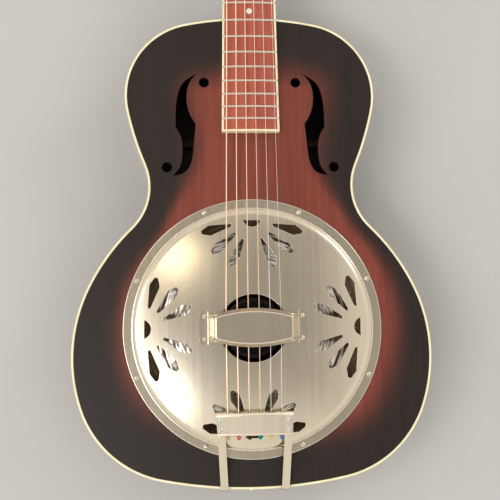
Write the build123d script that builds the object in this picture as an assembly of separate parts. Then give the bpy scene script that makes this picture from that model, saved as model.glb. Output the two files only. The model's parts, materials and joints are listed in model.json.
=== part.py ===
from build123d import *
import os
from math import asin, degrees, pi, radians, sin, sqrt

# A round-neck resonator guitar lying on its back. All sizes are in millimetres.
# It is modelled about the saddle: X points to the thin strings, Y to the head, Z out of the
# soundboard, and the soundboard's face is Z = 0. export_parts moves it to stand on Z = 0.

FAR = 400.0  # past the body on every side, for cutters and half spaces

# ---- body ----
BODY_DEPTH = 84.0
BODY_TOP_Y = 326.0
PLATE_THICKNESS = 3.2
SIDE_THICKNESS = 2.5
BINDING_HEIGHT = 6.0
LINING_WIDTH = 6.0
LINING_HEIGHT = 13.0
BRACE_WIDTH = 8.0
BRACE_HEIGHT = 11.0
BLOCK_HALF_WIDTH = 34.0
BACK_BRACE_PLACES = (207, 77, -73)
TOP_BRACE_Y = 145.0
TOP_BAR_X, TOP_BAR_END_Y = 39.0, 248.0
NECK_BLOCK_Y = 264.0
TAIL_BLOCK_Y = -137.0
STICK_WIDTH = 34.0
STICK_LOW, STICK_HIGH = -66.0, -42.0

# Half of the body's plan from the neck to the tail, as tangent arcs of radius and turn in
# degrees, a right turn being negative. The arc across the tail closes the plan by itself.
HALF_OUTLINE = (
    (344, -11.4),
    (78, -90.4),
    (312, -11.1),
    (59, 68.6),
    (218, -19.7),
    (162.5, -44.8),
    (110, -59.6),
)

# The treble f-hole: four curves from tip to tip, and an eye at each end.
F_HOLE_CURVES = (
    ((55.1, 265.7), (70.6, 255.1), (76.3, 240.0), (77.9, 208.8)),
    ((77.9, 208.8), (73.0, 200.0), (70.9, 184.0), (74.8, 165.0), (81.0, 157.6)),
    ((81.0, 157.6), (69.0, 160.7), (62.4, 169.8), (59.8, 183.3), (56.9, 212.2)),
    ((56.9, 212.2), (62.2, 220.7), (66.4, 239.0), (62.0, 258.0), (55.1, 265.7)),
)
F_HOLE_EYES = ((48.1, 256.1), (87.0, 166.4))
F_HOLE_EYE_RADIUS = 5.3

# ---- resonator ----
TOP_HOLE_RADIUS = 121.6
WELL_OUTER_RADIUS = 131.0
WELL_DEPTH = 30.0
CONE_SHELF_Z = -24.0
CONE_SHELF_INNER_RADIUS = 111.6
CONE_RADIUS = 120.6
CONE_SHEET = 0.6
CONE_RIM_WIDTH = 5.0
CONE_TOP_RADIUS = 27.0
CONE_TOP_Z = 2.2
CONE_RIDGES = 12
CONE_RIDGE_HEIGHT = 0.5
RIDGES_INNER_RADIUS = 40.0
BISCUIT_RADIUS = 27.5
BISCUIT_HEIGHT = 6.5
BISCUIT_SCREW_RADIUS = 1.5
SADDLE_LENGTH = 60.0
SADDLE_THICKNESS = 3.0
SADDLE_SLOT_DEPTH = 3.0

COVER_RADIUS = 132.6
COVER_SHEET = 1.0
FLANGE_INNER_RADIUS = 122.8
DOME_EDGE_RADIUS = 116.0
DOME_EDGE_Z = 4.4
DOME_RADIUS = 770.0
MOUTH_RADIUS = 33.5
LIP_RADIUS = 1.1
SCREW_CIRCLE_RADIUS = 128.2
COVER_SCREWS = 8
COVER_SCREW_LENGTH = 9.0
COVER_SLOT_ANGLE = 35.0
SMALL_SHANK_RADIUS = 1.2
PETAL_HUB_RADIUS = 110.5
PETAL_ANGLES = (-76, -50.5, -25, 25, 50.5, 76)
# Distance from the fan's centre and half width there, from a petal's root to its tip.
PETAL_HALF_WIDTHS = ((21.8, 1.2), (45.0, 5.3), (53.3, 1.7))
HALF_MOON_Y = 110.0
HALF_MOON_HALF_WIDTH = 9.2
HALF_MOON_DEPTH = 6.7

# ---- strings: treble to bass, radius of each ----
STRING_RADII = (0.17, 0.22, 0.33, 0.46, 0.58, 0.71)
PLAIN_STRINGS = 2
SCALE_LENGTH = 635.0
COMPENSATION = 4.0
SADDLE_TOP_Z = 19.0  # the strings' centre lines over the saddle's middle
SADDLE_CREST_Z = 19.6
SADDLE_SPREAD = 55.3
NUT_SPREAD = 39.6
TAIL_SPREAD = 53.4
STRING_HEIGHT_AT_NUT = 7.3

# ---- neck ----
NECK_ANGLE = 1.4
FRETS = 19
BOARD_THICKNESS = 5.5
BOARD_RADIUS = 305.0
BOARD_WIDTH_AT_NUT = 47.0
BOARD_WIDTH_AT_END = 59.8
BOARD_PAST_LAST_FRET = 13.7
BOARD_BINDING = 2.0
FRET_WIDTH = 2.2
FRET_HEIGHT = 1.1
DOT_RADIUS = 3.0
DOT_DEPTH = 1.6
DOT_FRETS = (3, 5, 7, 9)
NUT_THICKNESS = 5.0
NUT_HEIGHT = 8.2
NECK_DEPTH_AT_NUT = 15.5
NECK_DEPTH_AT_BODY = 18.5
HEEL_SECTIONS = ((-6, 27.5, 74), (-24, 24.5, 47), (-48, 19.5, 31), (-66, 16, 25), (-80, 13.5, 22))
ROD_RADIUS = 3.0
ROD_Z = -3.6
ROD_START = 12.0

# ---- headstock ----
HEAD_TILT = 14.0
HEAD_FACE_Z = 3.0
HEAD_LENGTH = 172.0
HEAD_WOOD = 13.0
VENEER = 2.0
HEAD_HALF_WIDTHS = ((0, 23.5), (17, 35.5), (150, 39.5))
HEAD_CREST_X, HEAD_CREST_Y = 20.0, 163.0
HEAD_CORNER = 8.0
POST_HOLE_RADIUS = 5.0
COVER_SCREW_PLACES = ((-6.5, 6), (6.5, 6), (0, 26))
COVER_SHANK_RADIUS = 1.0

# ---- tuners ----
# Place of each string's post in the headstock, from string 1, the thinnest, to string 6.
POSTS = ((25.5, 38), (25.5, 78), (25.5, 118), (-25.5, 118), (-25.5, 78), (-25.5, 38))
POST_RADIUS = 3.0
POST_HEIGHT = 13.0
RUNNING_GAP = 0.06
GEAR_TEETH = 14
WORM_PITCH = 2.1
GEAR_FACE = 3.0
GEAR_SHANK_RADIUS, GEAR_SHANK_LENGTH = 1.0, 5.0
STUB_RADIUS = 1.8
WORM_RADIUS = 3.0
WORM_CORE_RADIUS = 1.9
WORM_PITCH_RADIUS = 2.5
THREAD_TURNS = 3
SHAFT_RADIUS = 1.5
KEY_PLATE = 1.0
KEY_X = 25.5
KEY_SIZE = (7.0, 15.0, 10.5)
WINDING_TURNS = 4
WINDING_Z = 5.0
POST_WAIST_RADIUS = 2.5
PLATE_SCREWS_Y = (-15, 12)
PLATE_SHANK_RADIUS = 1.0

# ---- tailpiece, strap button and hand rest ----
TAIL_PLATE_HALF_WIDTH = 38.5
TAIL_PLATE_FRONT_Y = -82.5
TAIL_PLATE_REAR_Y = -106.0
TAIL_PLATE_TAPER = 1.2
TAIL_PLATE_BEND = 3.6
TAIL_PLATE_TOP_Z = 17.0
TAIL_SHEET = 1.4
ARM_SHEET = 1.6
ARM_INNER_X, ARM_OUTER_X = 29.3, 37.2
ARM_TAPER = 2.7
RIVET_X, RIVET_PLACES = 34.3, (-90.0, -100.0)
RIVET_RADIUS = 1.5
BALL_RADIUS = 2.0
BALL_Z = 13.0
BUTTON_Z = -43.0
FIXING_SHANK_RADIUS = 2.0
FIXING_SCREW_LENGTH = 33.0
BUTTON_HEIGHT = 8.2
REST_Y = 1.0
REST_SHEET = 1.2
REST_TOP_Z = 28.0
REST_TOP_HALF_LENGTH = 37.6
REST_FOOT_INNER_X, REST_FOOT_OUTER_X = 45.0, 54.7
REST_FOOT_HALF_WIDTH = 16.6
REST_FOOT_CORNER = 5.0
REST_END_HALF_WIDTH = 13.4
REST_MIDDLE_HALF_WIDTH = 18.9
REST_SKIRT = 3.0
REST_SCREWS = (49.4, 11.2)

parts = {}


# ---- small helpers ----
def block(low, high):
    """Box between two opposite corners."""
    middle = [(a + b) / 2 for a, b in zip(low, high)]
    size = [b - a for a, b in zip(low, high)]
    return Pos(*middle) * Box(*size)


def rod(radius, low, high):
    """Cylinder along Z between two heights."""
    return Pos(0, 0, (low + high) / 2) * Cylinder(radius, high - low)


def ring(inner, outer, low, high):
    """Washer or tube along Z between two heights."""
    return rod(outer, low, high) - rod(inner, low - 1, high + 1)


def prism(sketch, low, high):
    """Plan shape raised along Z between two heights."""
    return extrude(Pos(0, 0, low) * sketch, high - low, dir=(0, 0, 1))


def lathe(*points):
    """Closed outline of radius and height turned about Z."""
    return revolve(Plane.XZ * make_face(Polyline(*points, close=True)), Axis.Z)


def both_sides(shape):
    """A shape and its mirror image across the centre line."""
    return shape + mirror(shape, Plane.YZ)


def group(shapes):
    """Separate solids kept in one node."""
    return Compound(children=[solid for shape in shapes for solid in shape.solids()])


def round_screw(head_radius, head_height, shank_radius, length):
    """Round-head screw under Z = 0 with a slot across its head."""
    ball = (head_radius**2 + head_height**2) / (2 * head_height)
    head = Pos(0, 0, head_height - ball) * Sphere(ball) & rod(head_radius + 1, 0, head_height)
    slot = block((-head_radius, -0.3, head_height * 0.45), (head_radius, 0.3, head_height + 1))
    return head - slot + rod(shank_radius, -length, 0)


# ---- body ----
def half_arcs():
    """Centre, radius, start angle and turn of each arc of half the plan."""
    point = Vector(0, BODY_TOP_Y)
    heading = 0.0
    arcs = []
    for radius, turn in HALF_OUTLINE:
        side = 1 if turn > 0 else -1
        centre = point + Vector(0, side * radius).rotate(Axis.Z, heading)
        start = heading - side * 90
        arcs.append((centre, radius, start, turn))
        heading += turn
        point = centre + Vector(radius, 0).rotate(Axis.Z, start + turn)
    radius = -point.X / sin(radians(heading))
    centre = point + Vector(0, -radius).rotate(Axis.Z, heading)
    arcs.append((centre, radius, heading + 90, -180 - heading))
    return arcs


def outline(inset=0.0):
    """Plan of the body, moved in from its rim."""
    edges = []
    for centre, radius, start, turn in half_arcs():
        side = 1 if turn > 0 else -1
        edges.append(CenterArc(centre, radius + side * inset, start, turn))
    return make_face(edges + [mirror(edge, Plane.YZ) for edge in edges])


def slab(inset, low, high):
    """Body-shaped plate between two heights."""
    return prism(outline(inset), low, high)


def band(outer_inset, inner_inset, low, high):
    """Wall that follows the body's rim."""
    return slab(outer_inset, low, high) - slab(inner_inset, low - 1, high + 1)


TAIL_Y = outline().bounding_box().min.Y
BACK_Z = -BODY_DEPTH
INNER_BACK_Z = BACK_Z + PLATE_THICKNESS
LINING_INSET = SIDE_THICKNESS + LINING_WIDTH
NECK_BLOCK_SPACE = block((-BLOCK_HALF_WIDTH, NECK_BLOCK_Y, BACK_Z), (BLOCK_HALF_WIDTH, FAR, 0))
TAIL_BLOCK_SPACE = block((-BLOCK_HALF_WIDTH, -FAR, BACK_Z), (BLOCK_HALF_WIDTH, TAIL_BLOCK_Y, 0))
FIXING_SCREW_FRAME = Pos(0, TAIL_Y - 2, BUTTON_Z) * Rot(-90, 0, 0)
FIXING_SCREW_HOLE = FIXING_SCREW_FRAME * rod(FIXING_SHANK_RADIUS, 0, FIXING_SCREW_LENGTH)


def f_hole():
    """Plan of the treble f-hole and its two eyes."""
    curves = [Spline(*points) for points in F_HOLE_CURVES]
    eyes = [Pos(*centre) * Circle(F_HOLE_EYE_RADIUS) for centre in F_HOLE_EYES]
    return make_face(curves) + eyes


def cover_screw_places():
    """Places of the screws around the cover plate."""
    step = 360 / COVER_SCREWS
    return [Rot(0, 0, step * (i + 0.5)) * Pos(SCREW_CIRCLE_RADIUS, 0) for i in range(COVER_SCREWS)]


def cover_screw_holes():
    """Holes for the cover plate's screws, through the plate and into the wood."""
    return [place * rod(SMALL_SHANK_RADIUS, -COVER_SCREW_LENGTH, 4) for place in cover_screw_places()]


def build_body():
    """Plates, sides, bindings, linings, blocks and the well that holds the cone."""
    top = slab(SIDE_THICKNESS, -PLATE_THICKNESS, 0)
    top -= rod(TOP_HOLE_RADIUS, -5, 5)
    top -= both_sides(prism(f_hole(), -5, 5))
    well = lathe(
        (TOP_HOLE_RADIUS, -PLATE_THICKNESS),
        (WELL_OUTER_RADIUS, -PLATE_THICKNESS),
        (WELL_OUTER_RADIUS, -WELL_DEPTH),
        (CONE_SHELF_INNER_RADIUS, -WELL_DEPTH),
        (CONE_SHELF_INNER_RADIUS, CONE_SHELF_Z),
        (TOP_HOLE_RADIUS, CONE_SHELF_Z),
    )
    screw_holes = cover_screw_holes()
    parts["body_top"] = top - screw_holes
    parts["soundwell"] = well - screw_holes
    parts["body_back"] = slab(SIDE_THICKNESS, BACK_Z, INNER_BACK_Z)

    wall = band(0, SIDE_THICKNESS, BACK_Z + BINDING_HEIGHT, -BINDING_HEIGHT)
    wall -= FIXING_SCREW_HOLE
    parts["bass_side"] = wall & block((-FAR, -FAR, BACK_Z), (0, FAR, 0))
    parts["treble_side"] = wall & block((0, -FAR, BACK_Z), (FAR, FAR, 0))
    parts["top_binding"] = band(0, SIDE_THICKNESS, -BINDING_HEIGHT, 0)
    parts["back_binding"] = band(0, SIDE_THICKNESS, BACK_Z, BACK_Z + BINDING_HEIGHT)

    blocks = NECK_BLOCK_SPACE + TAIL_BLOCK_SPACE
    ceiling = -PLATE_THICKNESS
    under_top = band(SIDE_THICKNESS, LINING_INSET, ceiling - LINING_HEIGHT, ceiling)
    over_back = band(SIDE_THICKNESS, LINING_INSET, INNER_BACK_Z, INNER_BACK_Z + LINING_HEIGHT)
    parts["linings"] = group([under_top - blocks, over_back - blocks])
    inside = slab(SIDE_THICKNESS, INNER_BACK_Z, ceiling)
    parts["neck_block"] = inside & NECK_BLOCK_SPACE
    parts["tail_block"] = (inside & TAIL_BLOCK_SPACE) - FIXING_SCREW_HOLE
    half = STICK_WIDTH / 2
    parts["neck_stick"] = block((-half, TAIL_BLOCK_Y, STICK_LOW), (half, NECK_BLOCK_Y, STICK_HIGH))
    build_braces()


def build_braces():
    """Ladder braces on the back; one cross brace and two bars under the top."""
    half = BRACE_WIDTH / 2
    room = slab(LINING_INSET + 0.3, BACK_Z, 0)
    low, high = INNER_BACK_Z, INNER_BACK_Z + BRACE_HEIGHT
    ladder = [block((-FAR, y - half, low), (FAR, y + half, high)) & room for y in BACK_BRACE_PLACES]
    low, high = -PLATE_THICKNESS - BRACE_HEIGHT, -PLATE_THICKNESS
    cross = block((-FAR, TOP_BRACE_Y - half, low), (FAR, TOP_BRACE_Y + half, high)) & room
    bar = block((TOP_BAR_X, TOP_BRACE_Y + half, low), (TOP_BAR_X + BRACE_WIDTH, TOP_BAR_END_Y, high))
    parts["back_braces"] = group(ladder)
    parts["top_braces"] = group([cross, bar, mirror(bar, Plane.YZ)])


# ---- resonator ----
DOME_CENTRE_Z = DOME_EDGE_Z - sqrt(DOME_RADIUS**2 - DOME_EDGE_RADIUS**2)


def dome_z(radius):
    """Height of the cover plate's outer face on its dome."""
    return DOME_CENTRE_Z + sqrt(DOME_RADIUS**2 - radius**2)


def cover_section(drop):
    """Curve of the dome and shoulder, lowered by the sheet's thickness for its inner face."""
    middle = (MOUTH_RADIUS + DOME_EDGE_RADIUS) / 2
    dome = ThreePointArc(
        (MOUTH_RADIUS, dome_z(MOUTH_RADIUS) - drop),
        (middle, dome_z(middle) - drop),
        (DOME_EDGE_RADIUS, DOME_EDGE_Z - drop),
    )
    shoulder = Spline(
        (DOME_EDGE_RADIUS, DOME_EDGE_Z - drop),
        (FLANGE_INNER_RADIUS - drop * 0.6, COVER_SHEET - drop),
        tangents=((1, -0.15), (0.5, -1)),
    )
    return dome, shoulder


def petal_cluster():
    """Cutters of one fan of petals and its half moon, at the head side of the plate."""
    half = [(width, -radius) for radius, width in PETAL_HALF_WIDTHS]
    other = [(-x, y) for x, y in reversed(half)]
    petal = make_face(Polyline(*half, *other, close=True))
    fan = [Pos(0, PETAL_HUB_RADIUS) * Rot(0, 0, angle) * petal for angle in PETAL_ANGLES]
    curve = ThreePointArc(
        (-HALF_MOON_HALF_WIDTH, HALF_MOON_Y),
        (0, HALF_MOON_Y - HALF_MOON_DEPTH),
        (HALF_MOON_HALF_WIDTH, HALF_MOON_Y),
    )
    chord = Line(curve @ 1, curve @ 0)
    return [prism(face, -5, 20) for face in fan + [make_face([curve, chord])]]


def build_cover():
    """Cover plate: a flat flange, a shoulder, a shallow dome and a mouth whose edge is rolled under."""
    dome, shoulder = cover_section(0)
    inner_dome, inner_shoulder = cover_section(COVER_SHEET)
    flange = Polyline(
        shoulder @ 1, (COVER_RADIUS - 0.3, COVER_SHEET), (COVER_RADIUS, 0.6), (COVER_RADIUS, 0),
        inner_shoulder @ 1,
    )
    edges = [dome, shoulder, flange, inner_shoulder, inner_dome, Line(inner_dome @ 0, dome @ 0)]
    plate = revolve(Plane.XZ * make_face(edges), Axis.Z)
    lip_z = dome_z(MOUTH_RADIUS) - LIP_RADIUS - 0.1
    lip = Pos(0, 0, lip_z) * Torus(MOUTH_RADIUS + LIP_RADIUS, LIP_RADIUS)
    plate += lip
    for turn in range(4):
        plate -= [Rot(0, 0, 90 * turn) * cutter for cutter in petal_cluster()]
    plate -= cover_screw_holes()
    plate -= [place * rod(SMALL_SHANK_RADIUS, -9, 9) for place in rest_screw_places()]
    parts["cover_plate"] = plate
    screw = round_screw(2.7, 1.5, SMALL_SHANK_RADIUS, COVER_SCREW_LENGTH)
    screw = Pos(0, 0, COVER_SHEET) * Rot(0, 0, COVER_SLOT_ANGLE) * screw
    parts["cover_plate_screws"] = group([place * screw for place in cover_screw_places()])


def cone_line(drop):
    """Wall of the cone from its rim to its flat top, ridged except near the top."""
    start = CONE_RADIUS - CONE_RIM_WIDTH
    low = CONE_SHELF_Z + CONE_SHEET - drop
    slope = (CONE_TOP_Z - CONE_SHELF_Z - CONE_SHEET) / (start - CONE_TOP_RADIUS)
    points = []
    for i in range(2 * CONE_RIDGES + 1):
        inwards = (start - RIDGES_INNER_RADIUS) * i / (2 * CONE_RIDGES)
        points.append((start - inwards, low + slope * inwards + CONE_RIDGE_HEIGHT * (i % 2)))
    return points + [(CONE_TOP_RADIUS, CONE_TOP_Z - drop)]


def build_cone():
    """Spun cone with its rim on the shelf, and the biscuit, saddle and screw on its top."""
    rim = CONE_SHELF_Z + CONE_SHEET
    upper = [(CONE_RADIUS, CONE_SHELF_Z), (CONE_RADIUS, rim)] + cone_line(0)
    lower = cone_line(CONE_SHEET)[::-1]
    hole = BISCUIT_SCREW_RADIUS
    top = [(hole, CONE_TOP_Z), (hole, CONE_TOP_Z - CONE_SHEET)]
    parts["cone"] = lathe(*upper, *top, *lower)

    biscuit_top = CONE_TOP_Z + BISCUIT_HEIGHT
    slot_floor = biscuit_top - SADDLE_SLOT_DEPTH
    half_length = SADDLE_LENGTH / 2
    half = SADDLE_THICKNESS / 2
    saddle = block((-half_length, -half, slot_floor), (half_length, half, SADDLE_CREST_Z))
    biscuit = rod(BISCUIT_RADIUS, CONE_TOP_Z, biscuit_top)
    parts["biscuit"] = biscuit - saddle - rod(BISCUIT_SCREW_RADIUS, 0, slot_floor)
    shoulders = block((-half_length - 1, -3, slot_floor - 1), (half_length + 1, 3, biscuit_top))
    saddle -= shoulders - rod(BISCUIT_RADIUS - 0.2, -5, 20)
    crown = Rot(90, 0, 0) * Cylinder(BOARD_RADIUS, 20)
    saddle &= Pos(0, 0, SADDLE_CREST_Z - BOARD_RADIUS) * crown
    parts["saddle"] = saddle - string_notches(1)
    screw = Rot(180, 0, 0) * round_screw(3.2, 1.6, BISCUIT_SCREW_RADIUS, 3.6)
    parts["biscuit_screw"] = Pos(0, 0, CONE_TOP_Z - CONE_SHEET) * screw


def rest_screw_places():
    """Places of the hand rest's screws, on the dome."""
    x, y = REST_SCREWS
    z = dome_z(x)
    return [Pos(i * x, REST_Y + j * y, z) for i in (-1, 1) for j in (-1, 1)]


def build_hand_rest():
    """Bridge over the saddle: two feet, two risers and a skirted top, bent from one sheet."""
    lift = REST_SHEET / 2 + 0.1
    foot_outer = (REST_FOOT_OUTER_X, dome_z(REST_FOOT_OUTER_X) + lift)
    foot_inner = (REST_FOOT_INNER_X, dome_z(REST_FOOT_INNER_X) + lift)
    corner = (REST_TOP_HALF_LENGTH + REST_SHEET / 2, REST_TOP_Z - REST_SHEET / 2)
    right = [foot_outer, foot_inner, corner]
    left = [(-x, z) for x, z in reversed(right)]
    strip = trace(FilletPolyline(*right, *left, radius=1.6), REST_SHEET)
    strap = extrude(Plane.XZ * strip, 60, both=True)

    inner = REST_FOOT_INNER_X - 3
    foot = RectangleRounded(REST_FOOT_OUTER_X - inner, 2 * REST_FOOT_HALF_WIDTH, REST_FOOT_CORNER)
    feet = [Pos(side * (REST_FOOT_OUTER_X + inner) / 2, 0) * foot for side in (-1, 1)]
    barrel = rest_barrel(0)
    risers = Rectangle(2 * REST_FOOT_INNER_X, 2 * REST_END_HALF_WIDTH)
    plan = barrel + risers + feet
    rest = strap & prism(plan, 0, 40)
    skirt = prism(barrel - rest_barrel(REST_SHEET), REST_TOP_Z - REST_SKIRT, REST_TOP_Z - 0.4)
    half = REST_TOP_HALF_LENGTH
    rest += skirt & block((-half, -40, 0), (half, 40, 40))
    rest = Pos(0, REST_Y, 0) * rest
    holes = [place * rod(SMALL_SHANK_RADIUS, -3, 3) for place in rest_screw_places()]
    parts["hand_rest"] = rest - holes
    screw = Pos(0, 0, REST_SHEET + 0.3) * round_screw(2.5, 1.4, SMALL_SHANK_RADIUS, 6)
    parts["hand_rest_screws"] = group([place * screw for place in rest_screw_places()])


def rest_barrel(inset):
    """Plan of the hand rest's top, wider in the middle."""
    x = REST_TOP_HALF_LENGTH
    end, middle = REST_END_HALF_WIDTH - inset, REST_MIDDLE_HALF_WIDTH - inset
    front = ThreePointArc((x, end), (0, middle), (-x, end))
    back = ThreePointArc((-x, -end), (0, -middle), (x, -end))
    return make_face([front, Line((-x, end), (-x, -end)), back, Line((x, -end), (x, end))])


# ---- neck ----
neck_frame = Pos(0, BODY_TOP_Y, 0) * Rot(-NECK_ANGLE, 0, 0)
NUT_FACE = SCALE_LENGTH + COMPENSATION - BODY_TOP_Y
NUT_BACK = NUT_FACE + NUT_THICKNESS
BOARD_END = NUT_FACE - SCALE_LENGTH * (1 - 0.5 ** (FRETS / 12)) - BOARD_PAST_LAST_FRET
BOARD_LENGTH = NUT_FACE - BOARD_END
head_frame = neck_frame * Pos(0, NUT_BACK, HEAD_FACE_Z) * Rot(-HEAD_TILT, 0, 0)


def fret_place(number):
    """Distance of a fret from the body's end of the neck."""
    return NUT_FACE - SCALE_LENGTH * (1 - 0.5 ** (number / 12))


def board_half_width(place):
    """Half width of the fingerboard at a distance along the neck."""
    share = (NUT_FACE - place) / BOARD_LENGTH
    return (BOARD_WIDTH_AT_NUT + share * (BOARD_WIDTH_AT_END - BOARD_WIDTH_AT_NUT)) / 2


def board_plan(inset, start, end):
    """Tapered plan of the fingerboard between two places along the neck."""
    wide, narrow = board_half_width(start) - inset, board_half_width(end) - inset
    corners = ((-wide, start), (wide, start), (narrow, end), (-narrow, end))
    return make_face(Polyline(*corners, close=True))


def board_crown(height):
    """Cylinder along the neck whose top is the crowned playing surface."""
    drum = Rot(90, 0, 0) * Cylinder(BOARD_RADIUS + height, 3 * BOARD_LENGTH)
    return Pos(0, 0, BOARD_THICKNESS - BOARD_RADIUS) * drum


def build_fingerboard():
    """Crowned board with its binding, its markers and its frets."""
    blank = prism(board_plan(0, BOARD_END, NUT_FACE), -5, 12) & board_crown(0)
    wood = prism(board_plan(BOARD_BINDING, BOARD_END + BOARD_BINDING, NUT_FACE), -6, 13)
    over_neck = block((-FAR, -1, 0), (FAR, NUT_FACE + 1, 20))
    blank = neck_frame * (blank & (over_neck + block((-FAR, -200, -6), (FAR, -1, 20))))
    above_top = block((-FAR, 0, 0), (FAR, BODY_TOP_Y - 0.5, 30)) + neck_frame * over_neck
    blank &= above_top
    wood = neck_frame * wood
    board = blank & wood
    dots = [dot_place(12)] + [dot_place(number) for number in DOT_FRETS]
    sinks = [neck_frame * place * rod(DOT_RADIUS, -DOT_DEPTH, 1) for place in dots]
    parts["fingerboard"] = board - sinks
    parts["fingerboard_binding"] = blank - wood
    dot = rod(DOT_RADIUS, -DOT_DEPTH, 1)
    caps = [neck_frame * (place * dot & board_crown(0)) for place in dots]
    parts["position_dots"] = group(caps)
    parts["frets"] = group([build_fret(number) for number in range(1, FRETS + 1)])


def dot_place(number):
    """Place of a marker between a fret and the one before it."""
    return Pos(0, (fret_place(number) + fret_place(number - 1)) / 2, BOARD_THICKNESS)


def build_fret(number):
    """Domed fret wire bent to the fingerboard's crown."""
    place = fret_place(number)
    half_width = board_half_width(place) - 0.2
    dome = ThreePointArc((-FRET_WIDTH / 2, 0), (0, FRET_HEIGHT), (FRET_WIDTH / 2, 0))
    profile = make_face([dome, Line(dome @ 1, dome @ 0)])
    across = Plane((0, place, BOARD_THICKNESS), x_dir=(0, 1, 0), z_dir=(1, 0, 0))
    sweep_angle = degrees(asin(half_width / BOARD_RADIUS))
    axis = Axis((0, place, BOARD_THICKNESS - BOARD_RADIUS), (0, 1, 0))
    wire = revolve(across * profile, axis, 2 * sweep_angle)
    centred = Pos(axis.position) * Rot(0, -sweep_angle, 0) * Pos(-axis.position) * wire
    return neck_frame * centred


def half_oval(half_width, height, side):
    """Half of an ellipse on one side of the X axis."""
    return Ellipse(half_width, height) & Pos(0, side * FAR / 2) * Rectangle(FAR, FAR)


def neck_section(place, depth):
    """Half-oval section of the neck under the fingerboard."""
    face = half_oval(board_half_width(place), depth, -1)
    return Plane((0, place, 0), x_dir=(1, 0, 0), z_dir=(0, -1, 0)) * face


def heel_section(z, half_width, length):
    """Half-oval plan of the heel at one height."""
    return Pos(0, BODY_TOP_Y - 3, z) * half_oval(half_width, length, 1)


def head_plan():
    """Plan of the headstock, from the nut to its crest."""
    right = [(half, place) for place, half in HEAD_HALF_WIDTHS]
    crest = [(HEAD_CREST_X, HEAD_CREST_Y), (0, HEAD_LENGTH)]
    left = [(-x, y) for x, y in reversed(right + crest[:1])]
    plan = make_face(Polyline(*right, *crest, *left, close=True))
    corners = [v for v in plan.vertices() if v.Y > 1 and abs(v.X) > 1]
    return fillet(corners, HEAD_CORNER)


def build_neck():
    """Neck of one piece with its heel and headstock, the truss rod and the veneer."""
    shaft = loft([
        neck_section(NUT_BACK + 16, NECK_DEPTH_AT_NUT),
        neck_section(NUT_FACE * 0.45, NECK_DEPTH_AT_NUT + 1.5),
        neck_section(-6, NECK_DEPTH_AT_BODY),
    ])
    heel = loft([heel_section(*section) for section in HEEL_SECTIONS])
    heel -= neck_frame * block((-60, -20, 0), (60, 400, 60))
    head = head_frame * prism(head_plan(), -VENEER - HEAD_WOOD, -VENEER)
    root = head_frame * block((-23.2, -14, -VENEER - HEAD_WOOD), (23.2, 1, -VENEER))
    over_neck = neck_frame * block((-60, -50, 0), (60, NUT_BACK, 60))
    over_head = head_frame * block((-60, -1, -VENEER), (60, 200, 60))
    neck = (neck_frame * shaft + root - over_head + head + heel) - over_neck
    neck -= slab(0, BACK_Z, 20)
    rod_frame = neck_frame * Pos(0, ROD_START, ROD_Z) * Rot(-90, 0, 0)
    channel = block((-ROD_RADIUS, ROD_START, ROD_Z - ROD_RADIUS), (ROD_RADIUS, NUT_BACK + 22, 0))
    neck -= neck_frame * channel
    neck -= rod_frame * rod(ROD_RADIUS, 0, NUT_BACK + 6)
    post_holes = [head_frame * place * rod(POST_HOLE_RADIUS, -40, 5) for place in post_places()]
    neck -= post_holes
    neck -= tuner_screw_holes()
    parts["neck"] = neck - cover_shanks()

    rod_length = NUT_BACK + 8 - ROD_START
    socket = Pos(0, 0, rod_length) * extrude(RegularPolygon(1.6, 6), -6)
    parts["truss_rod"] = rod_frame * (rod(ROD_RADIUS - 0.2, 0, rod_length) - socket)

    veneer = head_frame * prism(head_plan(), -VENEER, 0) - over_neck
    pocket = head_frame * block((-4, -2, -VENEER - 1), (4, 20, 1))
    parts["headstock_veneer"] = veneer - post_holes - pocket - cover_shanks()
    build_nut()
    build_rod_cover()


def build_nut():
    """Nut across the end of the fingerboard, with a groove for each string."""
    narrow = board_half_width(NUT_FACE)
    nut = block((-narrow, NUT_FACE, 0), (narrow, NUT_BACK, NUT_HEIGHT))
    nut &= Pos(0, 0, NUT_HEIGHT - BOARD_THICKNESS) * board_crown(0)
    parts["nut"] = neck_frame * nut - string_notches(2)


def cover_shanks():
    """Holes for the truss rod cover's screws."""
    hole = rod(COVER_SHANK_RADIUS, -7, 4)
    return [head_frame * Pos(*place) * hole for place in COVER_SCREW_PLACES]


def build_rod_cover():
    """Bell-shaped cover over the truss rod's end, and its three screws."""
    right = [(9.5, 1.5), (8.0, 12), (3.6, 24), (3.6, 30)]
    left = [(-x, y) for x, y in reversed(right)]
    plan = make_face(Polyline(*right, *left, close=True))
    plan = fillet(plan.vertices(), 2.0)
    parts["truss_rod_cover"] = head_frame * prism(plan, 0, 1.6) - cover_shanks()
    screw = Pos(0, 0, 1.6) * round_screw(2.0, 1.1, COVER_SHANK_RADIUS, 8)
    screws = [head_frame * Pos(*place) * screw for place in COVER_SCREW_PLACES]
    parts["truss_rod_cover_screws"] = group(screws)


# ---- tuners ----
GEAR_PITCH_RADIUS = GEAR_TEETH * WORM_PITCH / (2 * pi)
WORM_OFFSET = GEAR_PITCH_RADIUS + WORM_PITCH_RADIUS
HEAD_BACK = -VENEER - HEAD_WOOD
PLATE_BACK = HEAD_BACK - KEY_PLATE
GEAR_TOP = PLATE_BACK + GEAR_FACE / 2 - WORM_RADIUS - 0.2
WORM_Z = GEAR_TOP - GEAR_FACE / 2
SHAFT_HALF = 7.0


def post_places():
    """The six posts in the headstock's frame, from string 1 to string 6."""
    return [Pos(x, along, 0) for x, along in POSTS]


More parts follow.
